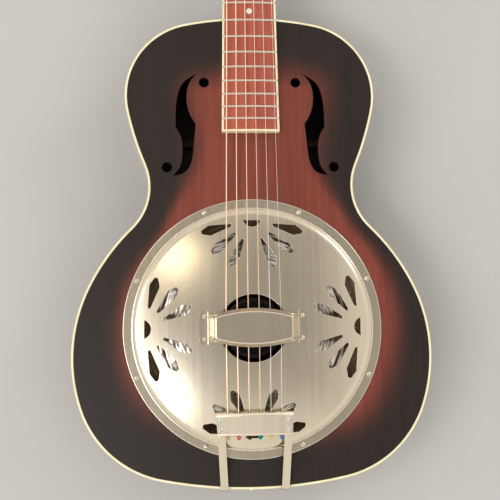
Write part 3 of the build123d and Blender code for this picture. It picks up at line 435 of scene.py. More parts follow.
def inside(points, loop):
    """Which of the points lie within a closed outline."""
    x, y = points[:, 0][:, None], points[:, 1][:, None]
    x1, y1 = np.array(loop).T
    x2, y2 = np.roll(x1, -1), np.roll(y1, -1)
    crosses = (y1 > y) != (y2 > y)
    with np.errstate(divide="ignore", invalid="ignore"):
        edge_x = x1 + (y - y1) * (x2 - x1) / (y2 - y1)
    return (crosses & (x < edge_x)).sum(axis=1) % 2 == 1


def rim_distance(points, loop):
    """How far each point lies from a closed outline."""
    a = np.array(loop)
    d = np.roll(a, -1, axis=0) - a
    best = np.full(len(points), 1e9)
    for (x, y), (dx, dy) in zip(a, d):
        share = ((points[:, 0] - x) * dx + (points[:, 1] - y) * dy) / (dx * dx + dy * dy)
        share = np.clip(share, 0, 1)
        best = np.minimum(best, np.hypot(points[:, 0] - x - share * dx, points[:, 1] - y - share * dy))
    return best


def fill_plan(rim, holes, spacing, folds=()):
    """Triangles of a flat plan with holes; returns its points, faces and which points are on an edge."""
    low, high = np.min(rim, axis=0), np.max(rim, axis=0)
    rows = np.arange(low[1] + spacing / 2, high[1], spacing * ROW_SHARE)
    grid = np.array([
        (x + (k % 2) * spacing / 2, y)
        for k, y in enumerate(rows)
        for x in np.arange(low[0] + spacing / 2, high[0], spacing)
    ])
    keep = inside(grid, rim)
    for hole in holes:
        keep &= ~inside(grid, hole)
    for loop in [rim, *holes, *folds]:
        keep &= rim_distance(grid, loop) > spacing * EDGE_CLEARANCE
    points, edges = [], []
    for loop in [rim, *holes, *folds]:
        first = len(points)
        points += [Vector(p) for p in loop]
        edges += [(first + i, first + (i + 1) % len(loop)) for i in range(len(loop))]
    on_edge_count = len(rim) + sum(len(hole) for hole in holes)
    points += [Vector(p) for p in grid[keep]]
    plan, _, faces, sources, _, _ = delaunay_2d_cdt(points, edges, [], 0, SAME_POINT)
    plan = np.array([tuple(p) for p in plan])
    faces = np.array(faces)
    middle = plan[faces].mean(axis=1)
    good = inside(middle, rim)
    for hole in holes:
        good &= ~inside(middle, hole)
    on_edge = np.array([any(s < on_edge_count for s in source) for source in sources])
    return plan, faces[good], on_edge


def sheet_mesh(plan, faces, top, bottom):
    """A closed sheet between two heights for each point; returns its points, faces and the plan used."""
    used = np.unique(faces)
    index = np.full(len(plan), -1)
    index[used] = np.arange(len(used))
    faces = index[faces]
    count = len(used)
    points = [(*plan[u], top[u]) for u in used] + [(*plan[u], bottom[u]) for u in used]
    edges = dict.fromkeys((a, b) for face in faces for a, b in zip(face, np.roll(face, -1)))
    walls = [(b, a, a + count, b + count) for a, b in edges if (b, a) not in edges]
    sides = [tuple(f) for f in faces] + [tuple(f[::-1] + count) for f in faces]
    return points, sides + walls, used


# ---- the body's top and back ----
SIDE = 2.5
TOP_THICKNESS = 3.2
BODY_TOP_Y = 326.0
HALF_OUTLINE = (
    (344, -11.4), (78, -90.4), (312, -11.1), (59, 68.6), (218, -19.7), (162.5, -44.8), (110, -59.6),
)
F_HOLE_CURVES = (
    ((55.1, 265.7), (70.6, 255.1), (76.3, 240.0), (77.9, 208.8)),
    ((77.9, 208.8), (73.0, 200.0), (70.9, 184.0), (74.8, 165.0), (81.0, 157.6)),
    ((81.0, 157.6), (69.0, 160.7), (62.4, 169.8), (59.8, 183.3), (56.9, 212.2)),
    ((56.9, 212.2), (62.2, 220.7), (66.4, 239.0), (62.0, 258.0), (55.1, 265.7)),
)
F_HOLE_EYES = ((48.1, 256.1), (87.0, 166.4))
F_HOLE_EYE_RADIUS = 5.3
TOP_HOLE_RADIUS = 121.6
OUTLINE_STEP, CURVE_STEP, EYE_STEP, PANEL_SPACING = 3.0, 1.5, 1.2, 6.0
BURST_WIDTH, BURST_START, BURST_SPAN = 57.0, 0.6, 0.7
BURST_WAIST_LESS, BURST_WAIST_Y = 37.0, 110.0
BURST_WAIST_HEADWARD, BURST_WAIST_TAILWARD = 60, 140
BURST_LEAN, BURST_LEAN_OVER = 6.5, 100


def body_outline(inset):
    """Plan of the body as points, counterclockwise, moved in from its rim."""
    point, heading = Vector((0, BODY_TOP_Y)), 0.0
    arcs = []
    for radius, turn in HALF_OUTLINE:
        side = 1 if turn > 0 else -1
        centre = point + side * radius * Vector((-math.sin(heading), math.cos(heading)))
        start = heading - side * math.pi / 2
        arcs.append((centre, radius + side * inset, start, math.radians(turn)))
        heading += math.radians(turn)
        end = start + math.radians(turn)
        point = centre + radius * Vector((math.cos(end), math.sin(end)))
    radius = -point.x / math.sin(heading)
    centre = point + radius * Vector((math.sin(heading), -math.cos(heading)))
    arcs.append((centre, radius - inset, heading + math.pi / 2, -math.pi - heading))
    right = []
    for centre, radius, start, turn in arcs:
        count = max(2, round(abs(turn) * radius / OUTLINE_STEP))
        for i in range(count):
            angle = start + turn * i / count
            right.append((centre.x + radius * math.cos(angle), centre.y + radius * math.sin(angle)))
    last = arcs[-1]
    right.append((0.0, last[0].y - last[1]))
    left = [(-x, y) for x, y in right[1:-1]]
    return left + right[::-1]


def smooth_curve(points):
    """A curve through a few points, as a natural cubic over the distance along them."""
    points = np.array(points, float)
    lengths = np.hypot(*np.diff(points, axis=0).T)
    knots = np.concatenate([[0], np.cumsum(lengths)])
    n = len(points)
    system = np.zeros((n, n))
    right = np.zeros((n, 2))
    system[0, 0] = system[-1, -1] = 1
    for i in range(1, n - 1):
        before, after = lengths[i - 1], lengths[i]
        system[i, i - 1:i + 2] = before, 2 * (before + after), after
        right[i] = 6 * ((points[i + 1] - points[i]) / after - (points[i] - points[i - 1]) / before)
    bend = np.linalg.solve(system, right)
    made = []
    for i, length in enumerate(lengths):
        count = max(2, round(length / CURVE_STEP))
        for k in range(count):
            a = (knots[i + 1] - (knots[i] + length * k / count)) / length
            b = 1 - a
            curve = ((a**3 - a) * bend[i] + (b**3 - b) * bend[i + 1]) * length**2 / 6
            made.append(tuple(a * points[i] + b * points[i + 1] + curve))
    return made


def f_hole_loops():
    """The two f-holes and their eyes, counterclockwise."""
    treble = [point for curve in F_HOLE_CURVES for point in smooth_curve(curve)][::-1]
    loops = [treble] + [circle(F_HOLE_EYE_RADIUS, eye, EYE_STEP) for eye in F_HOLE_EYES]
    return loops + [[(-x, y) for x, y in loop[::-1]] for loop in loops]


def step_up(value, low, high):
    """Smooth step from 0 to 1 between two values."""
    share = np.clip((value - low) / (high - low), 0, 1)
    return share * share * (3 - 2 * share)


def build_panel(name, node, holes, low, high, material):
    """A flat body plate between two heights; returns it with the plan of its points."""
    plan, faces, _ = fill_plan(body_outline(SIDE), holes, PANEL_SPACING)
    top, bottom = np.full(len(plan), high), np.full(len(plan), low)
    points, faces, used = sheet_mesh(plan, faces, top, bottom)
    piece = piece_from(name, points, faces, material, (node,), sharp=30)
    return piece, plan[used]


def spray_burst(piece, plan):
    """A hand-sprayed sunburst that follows the rim, narrow at the waist and off centre."""
    x, y = plan.T
    lean = BURST_LEAN * np.clip(x / BURST_LEAN_OVER, -1, 1)
    distance = rim_distance(plan, body_outline(SIDE)) + SIDE + lean
    reach = np.where(y > BURST_WAIST_Y, BURST_WAIST_HEADWARD, BURST_WAIST_TAILWARD)
    waist = np.exp(-((y - BURST_WAIST_Y) / reach) ** 2)
    middle = BURST_WIDTH - BURST_WAIST_LESS * waist
    amount = np.clip((distance - BURST_START * middle) / (BURST_SPAN * middle), 0, 1)
    layer = piece.data.attributes.new("burst", "FLOAT", "POINT")
    layer.data.foreach_set("value", np.concatenate([amount, amount]).astype(np.float32))


top_holes = [circle(TOP_HOLE_RADIUS)] + f_hole_loops()
soundboard, soundboard_plan = build_panel(
    "soundboard_panel", "body_top", top_holes, -TOP_THICKNESS, 0.0, burst_top,
)
spray_burst(soundboard, soundboard_plan)
back_z = (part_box("body_back")[0].z - ORIGIN.z) / MM
build_panel("back_panel", "body_back", [], back_z, back_z + TOP_THICKNESS, dark_side)

# ---- cover plate ----
COVER_RADIUS = 132.6
COVER_SHEET = 1.0
FLANGE_INNER_RADIUS = 122.8
DOME_EDGE_RADIUS = 116.0
DOME_EDGE_Z = 4.4
DOME_RADIUS = 770.0
DOME_CENTRE_Z = DOME_EDGE_Z - math.sqrt(DOME_RADIUS**2 - DOME_EDGE_RADIUS**2)
MOUTH_RADIUS = 33.5
MOUTH_ROLL = 1.8
PETAL_HUB_RADIUS = 110.5
PETAL_ANGLES = (-76, -50.5, -25, 25, 50.5, 76)
PETAL_HALF_WIDTHS = ((21.8, 1.2), (45.0, 5.3), (53.3, 1.7))
HALF_MOON_Y = 110.0
HALF_MOON_HALF_WIDTH = 9.2
HALF_MOON_DEPTH = 6.7
HALF_MOON_POINTS = 11
CUT_ROUND, CUT_DROP, CUT_STEP = 0.3, 0.15, 2.0
CUT_RINGS = (CUT_ROUND, 2.5 * CUT_ROUND)
SHOULDER_POWER = 2.6
RIM_ROUND, RIM_DROP = 1.0, 0.6
THINNEST = 0.3
FOLD_REACH, RIM_REACH = 0.5, 1.0
SLOPE_REACH = 0.01
MOUTH_FOLDS = (0.08, 0.25, 0.55, 1.0, 1.8)
OUTER_FOLDS = (114, 116, 118, 119.5, 120.7, 121.6, 122.2, 122.8, 124, 128, 131.3, 131.7, 132.2)
INNER_STEP, OUTER_STEP, COVER_SPACING = 2.0, 2.6, 4.0


def dome_z(radius):
    """Height of the cover plate's outer face on its dome."""
    return DOME_CENTRE_Z + np.sqrt(DOME_RADIUS**2 - radius**2)


def cover_z(radius):
    """Height of the cover plate's outer face: rolled mouth, dome, shoulder and flange."""
    share = np.clip((radius - DOME_EDGE_RADIUS) / (FLANGE_INNER_RADIUS - DOME_EDGE_RADIUS), 0, 1)
    slope = DOME_EDGE_RADIUS / DOME_RADIUS * (FLANGE_INNER_RADIUS - DOME_EDGE_RADIUS)
    fall = DOME_EDGE_Z - COVER_SHEET
    shoulder = DOME_EDGE_Z - slope * share - (fall - slope) * share**SHOULDER_POWER
    height = np.where(radius < DOME_EDGE_RADIUS, dome_z(np.minimum(radius, DOME_EDGE_RADIUS)), shoulder)
    edge = np.clip((radius - (COVER_RADIUS - RIM_ROUND)) / RIM_ROUND, 0, 1)
    roll = np.clip(1 - (radius - MOUTH_RADIUS) / MOUTH_ROLL, 0, 1)
    return height - RIM_DROP * edge**2 - MOUTH_ROLL * (1 - np.sqrt(1 - roll**2))


def turned_loop(loop, quarter, hub=(0.0, 0.0), angle=0.0):
    """An outline turned about its hub, then turned with its cluster about the saddle."""
    own = math.radians(angle)
    whole = math.radians(90 * quarter)
    points = []
    for x, y in loop:
        px = hub[0] + x * math.cos(own) - y * math.sin(own)
        py = hub[1] + x * math.sin(own) + y * math.cos(own)
        turned_x = px * math.cos(whole) - py * math.sin(whole)
        points.append((turned_x, px * math.sin(whole) + py * math.cos(whole)))
    return points


def cover_cuts():
    """Outlines of every petal and half moon, counterclockwise."""
    side = [(width, -radius) for radius, width in PETAL_HALF_WIDTHS[::-1]]
    petal = side + [(-x, y) for x, y in side[::-1]]
    sag = HALF_MOON_DEPTH
    radius = (HALF_MOON_HALF_WIDTH**2 + sag**2) / (2 * sag)
    reach = math.asin(HALF_MOON_HALF_WIDTH / radius)
    moon = [
        (radius * math.sin(a), HALF_MOON_Y - sag + radius - radius * math.cos(a))
        for a in np.linspace(-reach, reach, HALF_MOON_POINTS)
    ]
    loops = []
    for quarter in range(4):
        loops += [turned_loop(petal, quarter, (0, PETAL_HUB_RADIUS), angle) for angle in PETAL_ANGLES]
        loops.append(turned_loop(moon, quarter))
    return loops


def cover_plan():
    """The plate's plan, with rings of points beside its cuts and along its folds."""
    cuts = [evenly(loop, CUT_STEP) for loop in cover_cuts()]
    rings = [grown(loop, distance) for loop in cuts for distance in CUT_RINGS]
    folds = [circle(MOUTH_RADIUS + MOUTH_ROLL * share, step=INNER_STEP) for share in MOUTH_FOLDS]
    folds += [circle(radius, step=OUTER_STEP) for radius in OUTER_FOLDS]
    mouth = circle(MOUTH_RADIUS, step=INNER_STEP)
    rim = circle(COVER_RADIUS, step=OUTER_STEP)
    return fill_plan(rim, [mouth] + cuts, COVER_SPACING, rings + folds)


def shade_by_curve(piece, plan, radius, folded, used):
    """Shade the plate's face by its own curve, except where it is folded or cut."""
    slope = (cover_z(radius + SLOPE_REACH) - cover_z(radius - SLOPE_REACH)) / (2 * SLOPE_REACH)
    across = -slope / radius
    facing = np.column_stack((across * plan[:, 0], across * plan[:, 1], np.ones(len(plan))))
    facing /= np.linalg.norm(facing, axis=1)[:, None]
    facing[folded] = 0
    normals = np.vstack((facing[used], np.zeros((len(used), 3))))
    piece.data.normals_split_custom_set_from_vertices(normals.tolist())


def build_cover():
    """The cover plate as one sheet, its cuts' edges a little lower than the face around them."""
    plan, faces, on_edge = cover_plan()
    radius = np.hypot(*plan.T)
    top = cover_z(radius)
    near_cut = on_edge & (radius > MOUTH_RADIUS + RIM_REACH) & (radius < COVER_RADIUS - RIM_REACH)
    bottom = top - COVER_SHEET
    bottom = np.where(radius > FLANGE_INNER_RADIUS, np.maximum(bottom, 0.0), bottom)
    top = top - CUT_DROP * near_cut
    points, faces, used = sheet_mesh(plan, faces, top, np.minimum(bottom, top - THINNEST))
    piece = piece_from("cover_plate_sheet", points, faces, nickel_y, ("cover_plate",))
    folded = on_edge | (np.abs(radius - FLANGE_INNER_RADIUS) < FOLD_REACH)
    shade_by_curve(piece, plan, radius, folded, used)


build_cover()

# ---- cone ----
CONE_RADIUS = 120.6
CONE_SHELF_Z = -24.0
CONE_SHEET = 0.6
CONE_RIM = 5.0
CONE_TOP_RADIUS = 27.0
CONE_TOP_Z = 2.2
CONE_RIDGES, RIDGE_STEPS = 12, 10
CONE_RIDGE_HEIGHT = 0.3
RIDGES_INNER_RADIUS = 40.0
CONE_HOLE_RADIUS = 1.5
CONE_SEGMENTS = 200


def turned(name, profile, segments, material, replaces=(), body=ROOT, place=Matrix.Identity(4)):
    """A closed outline of radius and height turned about the vertical, or about a place's own axis."""
    count = len(profile)
    points, faces = [], []
    for i in range(segments):
        angle = 2 * math.pi * i / segments
        for radius, z in profile:
            points.append(tuple(place @ Vector((radius * math.cos(angle), radius * math.sin(angle), z))))
    for i in range(segments):
        for k in range(count):
            a, b = i * count + k, i * count + (k + 1) % count
            c, d = (b + count) % len(points), (a + count) % len(points)
            faces.append((a, d, c, b))
    return piece_from(name, points, faces, material, replaces, body)


def build_cone():
    """Spun cone with rounded ridges on its lower wall, a flat rim and a flat top."""
    rim_z = CONE_SHELF_Z + CONE_SHEET
    outer = CONE_RADIUS - CONE_RIM
    slope = (CONE_TOP_Z - rim_z) / (outer - CONE_TOP_RADIUS)
    steps = CONE_RIDGES * RIDGE_STEPS
    wall = []
    for i in range(steps + 1):
        inwards = (outer - RIDGES_INNER_RADIUS) * i / steps
        ridge = CONE_RIDGE_HEIGHT * (0.5 - 0.5 * math.cos(2 * math.pi * i / RIDGE_STEPS))
        wall.append((outer - inwards, rim_z + slope * inwards + ridge))
    wall.append((CONE_TOP_RADIUS, CONE_TOP_Z))
    upper = [(CONE_RADIUS, rim_z)] + wall + [(CONE_HOLE_RADIUS, CONE_TOP_Z)]
    lower = [(CONE_HOLE_RADIUS, CONE_TOP_Z - CONE_SHEET)] + [(r, z - CONE_SHEET) for r, z in wall[::-1]]
    profile = upper + lower + [(CONE_RADIUS, CONE_SHELF_Z)]
    turned("spun_cone", profile[::-1], CONE_SEGMENTS, aluminium, ("cone",))


build_cone()

# ---- hand rest ----
REST_Y = 1.0
REST_SHEET = 1.2
REST_TOP_Z = 28.0
REST_TOP_HALF = 37.6
REST_FOOT_INNER_X, REST_FOOT_OUTER_X = 45.0, 54.7
REST_FOOT_HALF_WIDTH = 16.6
REST_FOOT_CORNER = 5.0
REST_END_HALF_WIDTH = 13.4
REST_MIDDLE_HALF_WIDTH = 18.9
REST_FLANGE_BEND = 1.6
REST_FLANGE_SLOPE = math.radians(50)
REST_FLANGE_REACH = 4.2
REST_BEND = 2.0
REST_GAP = 0.1
REST_FOLD_START, REST_FOLD_FULL = 5.5, 1.0
REST_STEP = 1.5
REST_EDGE_ROUND, REST_EDGE_ANGLE = 0.55, 50
ARC_STEPS, CORNER_POINTS = 6, 6
FLAT_STEPS, BEND_STEPS, RUN_STEPS = 6, 4, 3


def rounded_path(corners, radius):
    """A flat path with its corners rounded."""
    made = [Vector(corners[0])]
    for before, here, after in zip(corners, corners[1:], corners[2:]):
        a = (Vector(before) - Vector(here)).normalized()
        b = (Vector(after) - Vector(here)).normalized()
        half = a.angle(b) / 2
        run = radius / math.tan(half)
        start, end = Vector(here) + a * run, Vector(here) + b * run
        middle = Vector(here) + (a + b).normalized() * (radius / math.sin(half))
        first, last = start - middle, end - middle
        sweep = first.angle(last)
        side = 1 if first.x * last.y - first.y * last.x > 0 else -1
        for i in range(ARC_STEPS + 1):
            turn = side * sweep * i / ARC_STEPS
            made.append(middle + Vector((
                first.x * math.cos(turn) - first.y * math.sin(turn),
                first.x * math.sin(turn) + first.y * math.cos(turn),
            )))
    made.append(Vector(corners[-1]))
    return made


def refine(path, step):
    """A path with its long runs cut into short ones."""
    made = []
    for a, b in zip(path, path[1:]):
        count = max(1, round((b - a).length / step))
        made += [a + (b - a) * i / count for i in range(count)]
    return made + [path[-1]]


def flange_section(half, fold):
    """Places across the rest, edge to edge, and how far its folded edges lie under its face."""
    flat = half - REST_FLANGE_REACH
    section = [(flat * i / FLAT_STEPS, 0.0) for i in range(FLAT_STEPS + 1)]
    for i in range(1, BEND_STEPS + 1):
        a = REST_FLANGE_SLOPE * i / BEND_STEPS
        section.append((flat + REST_FLANGE_BEND * math.sin(a), REST_FLANGE_BEND * (1 - math.cos(a))))
    bend_y, bend_down = section[-1]
    for i in range(1, RUN_STEPS + 1):
        run = (half - bend_y) * i / RUN_STEPS
        section.append((bend_y + run, bend_down + run * math.tan(REST_FLANGE_SLOPE)))
    section = [(y, fold * down) for y, down in section]
    return [(-y, down) for y, down in section[:0:-1]] + section


def rest_path():
    """The rest's middle line seen from the tail, from foot to foot, closer set round the feet's ends."""
    lift = REST_SHEET / 2 + REST_GAP
    foot = [(x, float(dome_z(x)) + lift) for x in (REST_FOOT_OUTER_X, REST_FOOT_INNER_X)]
    corner = (REST_TOP_HALF + REST_SHEET / 2, REST_TOP_Z - REST_SHEET / 2)
    right = foot + [corner]
    left = [(-x, z) for x, z in right[::-1]]
    path = refine(rounded_path(right + left, REST_BEND), REST_STEP)
    angles = np.linspace(0, math.pi / 2, CORNER_POINTS)
    edge = [REST_FOOT_OUTER_X - REST_FOOT_CORNER * (1 - math.cos(a)) for a in angles]
    path = [p for p in path if abs(p.x) <= REST_FOOT_OUTER_X - REST_FOOT_CORNER]
    right_end = [Vector((x, path[0].y)) for x in edge[:-1]]
    left_end = [Vector((-x, path[-1].y)) for x in edge[-2::-1]]
    return right_end + path + left_end


def rest_half_width(x):
    """Half the rest's width at a distance from its middle: barrel-shaped, with round-cornered feet."""
    if x > REST_FOOT_INNER_X:
        past = max(0.0, x - (REST_FOOT_OUTER_X - REST_FOOT_CORNER))
        rounding = REST_FOOT_CORNER - math.sqrt(max(0.0, REST_FOOT_CORNER**2 - past**2))
        return REST_FOOT_HALF_WIDTH - rounding
    bulge = max(0.0, 1 - (x / REST_TOP_HALF) ** 2)
    return REST_END_HALF_WIDTH + (REST_MIDDLE_HALF_WIDTH - REST_END_HALF_WIDTH) * bulge


def build_hand_rest():
    """One sheet from foot to foot, with folded edges along its barrel-shaped top."""
    path = rest_path()
    points, faces = [], []
    for i, here in enumerate(path):
        ahead = path[min(i + 1, len(path) - 1)] - path[max(i - 1, 0)]
        normal = Vector((ahead.y, -ahead.x)).normalized()
        if normal.y < 0:
            normal = -normal
        fold = float(step_up(here.y, REST_TOP_Z - REST_FOLD_START, REST_TOP_Z - REST_FOLD_FULL))
        for across, down in flange_section(rest_half_width(abs(here.x)), fold):
            points.append((here.x - normal.x * down, REST_Y + across, here.y - normal.y * down))
    n = len(points) // len(path)
    for i in range(len(path) - 1):
        for k in range(n - 1):
            a = i * n + k
            faces.append((a, a + 1, a + n + 1, a + n))
    piece = piece_from("hand_rest_bridge", points, faces, nickel_y, ("hand_rest",), sharp=60)
    thick = piece.modifiers.new("sheet", "SOLIDIFY")
    thick.thickness = REST_SHEET * MM
    thick.offset = 0
    round_off = piece.modifiers.new("edges", "BEVEL")
    round_off.width = REST_EDGE_ROUND * MM
    round_off.segments = 3
    round_off.limit_method = "ANGLE"
    round_off.angle_limit = math.radians(REST_EDGE_ANGLE)
    weigh(piece)


build_hand_rest()

# ---- strings ----
SCALE_LENGTH = 635.0
COMPENSATION = 4.0
SADDLE_STRING_Z = 19.0
SADDLE_SPREAD, NUT_SPREAD, TAIL_SPREAD = 55.3, 39.6, 53.4
NUT_STRING_Z = 7.3
BOARD_RADIUS = 305.0
NECK_ANGLE = 1.4
NUT_FACE = SCALE_LENGTH + COMPENSATION - BODY_TOP_Y
STRING_RADII = (0.17, 0.22, 0.33, 0.46, 0.58, 0.71)
TAIL_PLATE_REAR_Y, BALL_Z, BALL_RADIUS = -106.0, 13.0, 2.0
BALL_GAP, NUT_BREAK = 0.1, 0.7
SADDLE_REACH, NUT_REACH = 2.2, 0.9
POST_WAIST, WINDING_Z = 2.5, 5.0

neck_place = Matrix.Translation((0, BODY_TOP_Y, 0)) @ Matrix.Rotation(math.radians(-NECK_ANGLE), 4, "X")
joint_places = {joint["name"]: joint for joint in frame["joints"]}


def post_place(string):
    """A post's own frame in millimetres, from its joint: Z along the post."""
    joint = joint_places[f"tuner_post_{string}_turn"]
    middle = (Vector(joint["pos_m"]) - ORIGIN) / MM
    up = Vector(joint["axis"])
    across = Vector((1, 0, 0))
    along = up.cross(across)
    turn = Matrix((across, along, up)).transposed().to_4x4()
    return Matrix.Translation(middle) @ turn


def spaced(spread, string):
    """Sideways place of a string where the outer two are spread apart."""
    return spread * (0.5 - (string - 1) / 5)


def inward(string):
    """Which way along X a string's post faces the other bank."""
    return -1 if string <= 3 else 1


def string_route(string):
    """Corners of one string from its ball end to the start of its winding."""
    radius = STRING_RADII[string - 1]
    ball = Vector((spaced(TAIL_SPREAD, string), TAIL_PLATE_REAR_Y - BALL_GAP, BALL_Z))
    x = spaced(SADDLE_SPREAD, string)
    saddle = Vector((x, 0, SADDLE_STRING_Z - x**2 / (2 * BOARD_RADIUS)))
    x = spaced(NUT_SPREAD, string)
    nut = neck_place @ Vector((x, NUT_FACE + NUT_BREAK, NUT_STRING_Z - x**2 / (2 * BOARD_RADIUS)))
    touch = post_place(string) @ Vector((inward(string) * (POST_WAIST + radius), 0, WINDING_Z + radius))
    return ball, saddle, nut, touch


def tube(name, path, radii, sides, material, body=ROOT):
    """A closed tube round a path, with a radius at each point."""
    points, faces = [], []
    side_axis = Vector((1, 0, 0))
    for i, here in enumerate(path):
        ahead = (path[min(i + 1, len(path) - 1)] - path[max(i - 1, 0)]).normalized()
        side_axis = (side_axis - ahead * side_axis.dot(ahead)).normalized()
        up = ahead.cross(side_axis)
        for k in range(sides):
            angle = 2 * math.pi * k / sides
            points.append(tuple(here + radii[i] * (math.cos(angle) * side_axis + math.sin(angle) * up)))
    for i in range(len(path) - 1):
        for k in range(sides):
            a, b = i * sides + k, i * sides + (k + 1) % sides
            faces.append((a, b, b + sides, a + sides))
    faces.append(tuple(range(sides))[::-1])
    faces.append(tuple(range((len(path) - 1) * sides, len(path) * sides)))
    return piece_from(name, points, faces, material, body=body, sharp=60)


def join(pieces, name):
    """Several pieces of one body made into one."""
    with bpy.context.temp_override(
        active_object=pieces[0], object=pieces[0], selected_objects=pieces, selected_editable_objects=pieces
    ):
        bpy.ops.object.join()
    pieces[0].name = name
    return pieces[0]


def string_path(string):
    """The string's line with small bends at the saddle and the nut."""
    ball, saddle, nut, touch = string_route(string)
    bends = ((ball, saddle, nut, SADDLE_REACH), (saddle, nut, touch, NUT_REACH))
    made = [ball]
    for before, here, after, reach in bends:
        first = here + (before - here).normalized() * reach
        last = here + (after - here).normalized() * reach
        for i in range(ARC_STEPS + 1):
            t = i / ARC_STEPS
            made.append((1 - t) ** 2 * first + 2 * t * (1 - t) * here + t**2 * last)
    return made + [touch]


WRAP_PITCH, WRAP_DEPTH = 0.75, 0.13
WIRE_SIDES, WRAP_SIDES = 10, 8


def build_strings():
    """Plain strings as smooth wires, and wound strings with their wrap as rings."""
    plain = []
    for string in (1, 2):
        path = string_path(string)
        radii = [STRING_RADII[string - 1]] * len(path)
        plain.append(tube(f"string_{string}", path, radii, WIRE_SIDES, string_steel))
    wound = []
    for string in (3, 4, 5, 6):
        path = refine(string_path(string), WRAP_PITCH / 2)
        radius = STRING_RADII[string - 1]
        radii = [radius * (1 - WRAP_DEPTH * (i % 2)) for i in range(len(path))]
        wound.append(tube(f"string_{string}", path, radii, WRAP_SIDES, bronze))
    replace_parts(join(plain, "plain_wires"), "plain_strings")
    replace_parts(join(wound, "wound_wires"), "wound_strings")


build_strings()

# ---- ball ends ----
BALL_SEGMENTS = 28
BALL_COLOURS = (
    ("blue", (0.02, 0.22, 0.62)), ("yellow", (0.80, 0.72, 0.16)), ("green", (0.01, 0.42, 0.32)),
    ("black", (0.015, 0.015, 0.015)), ("red", (0.70, 0.04, 0.06)), ("brass", (0.62, 0.46, 0.20)),
)


def anodised(name, colour):
    """Coloured ball end with a metal sheen."""
    paint = Paint(name, Metallic=0.45, Roughness=0.24)
    wear = paint.noise(paint.place(), 1400, 3, 0.6)
    paint.colour(paint.mix(paint.ramp(wear, (0.35, 0.0), (0.7, 1.0)), tuple(0.6 * c for c in colour), colour))
    return paint.material


def build_ball_ends():
    """Six spools with rounded flanges, one behind the tail plate for each string."""
    profile = [
        (0.8, -1.5), (1.5, -1.6), (1.9, -1.5), (2.0, -1.25), (1.9, -0.95), (1.55, -0.6), (1.5, 0.0),
        (1.55, 0.6), (1.9, 0.95), (2.0, 1.25), (1.9, 1.5), (1.5, 1.6), (0.8, 1.5),
    ]
    for string, (name, colour) in enumerate(BALL_COLOURS, 1):
        place = Matrix.Translation((spaced(TAIL_SPREAD, string), TAIL_PLATE_REAR_Y - BALL_RADIUS, BALL_Z))
        metal = anodised(f"ball_{name}", colour)
        spool = turned(f"ball_end_{name}", profile, BALL_SEGMENTS, metal, place=place)
        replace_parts(spool, "ball_ends")


build_ball_ends()

# ---- posts with their windings ----
POST_RADIUS, POST_HEIGHT = 3.0, 13.0
POST_SEGMENTS = 40
WINDING_TURNS, WINDING_STEPS = 4, 28
WINDING_PITCH = 2.06
STRING_END = ((0.5, 3.3, 9.2), (0.2, 1.0, 9.8), (-0.2, -1.4, 10.0), (-0.5, -4.6, 10.3))
SOFT_EDGES = {
    "top_binding": 0.7, "back_binding": 0.7, "tailpiece_plate": 0.35, "tailpiece_frame": 0.3,
    "headstock_veneer": 0.3, "nut": 0.4, "tuner_plates": 0.15, "truss_rod_cover": 0.3,
}


def post_profile(bottom):
    """The post's outline from its foot up, by radius and height over the headstock's face."""
    foot = [(0.0, bottom + 0.1), (2.0, bottom), (3.0, bottom + 0.9), (3.0, bottom + 1.3)]
    gear_seat = [(1.8, bottom + 1.3), (1.8, bottom + 7.2)]
    shaft = [(POST_RADIUS, bottom + 7.6), (POST_RADIUS, 3.8), (2.85, 4.2)]
    waist = [(POST_WAIST, WINDING_Z), (POST_WAIST, 10.6), (2.7, 11.2)]
    head = [(POST_RADIUS, 11.7), (POST_RADIUS, 12.5), (2.6, 12.95), (0.0, POST_HEIGHT)]
    return foot + gear_seat + shaft + waist + head


def winding_path(string, place):
    """The string's way up its post in turns, and then through the post's hole."""
    radius = STRING_RADII[string - 1]
    coil = POST_WAIST + radius
    path = []
    for i in range(WINDING_TURNS * WINDING_STEPS + 1):
        angle = 2 * math.pi * i / WINDING_STEPS
        z = WINDING_Z + radius + WINDING_PITCH * radius * i / WINDING_STEPS
        path.append(place @ Vector((inward(string) * coil * math.cos(angle), coil * math.sin(angle), z)))
    return path + [place @ Vector((inward(string) * x, y, z)) for x, y, z in STRING_END]


def build_post(string):
    """A post with its waist, the string wound on it and the string's end through its hole."""
    body = f"tuner_post_{string}"
    place = post_place(string)
    corners = [(vertex.co - ORIGIN) / MM for vertex in frame["nodes"][body].data.vertices]
    bottom = min((place.inverted() @ corner).z for corner in corners)
    profile = post_profile(bottom)
    turned(f"post_{string}", profile, POST_SEGMENTS, nickel_bright, (body,), body, place)
    path = winding_path(string, place)
    radii = [STRING_RADII[string - 1]] * len(path)
    metal, slot = (string_steel, "plain_string") if string <= 2 else (bronze, "bronze_string")
    tube(f"winding_{string}", path, radii, WIRE_SIDES, metal, body)


for i in range(1, 7):
    build_post(i)

for node_name, width in SOFT_EDGES.items():
    soften(node_name, width)

# ---- floor, light and camera ----
FLOOR_HALF, FLOOR_DROP = 6.0, 0.0005
SIDE_LIGHT, OVERHEAD_LIGHT = 1.05, 0.43
DIM_UNDER, BRIGHT_OVER, DIM_MIDDLE_Y = 0.30, 0.47, 0.06
CAMERA_PLACE, CAMERA_TURN, CAMERA_LENS = (-36.0, 25.8, 718.2), (4.323, -2.65, -0.746), 50.33


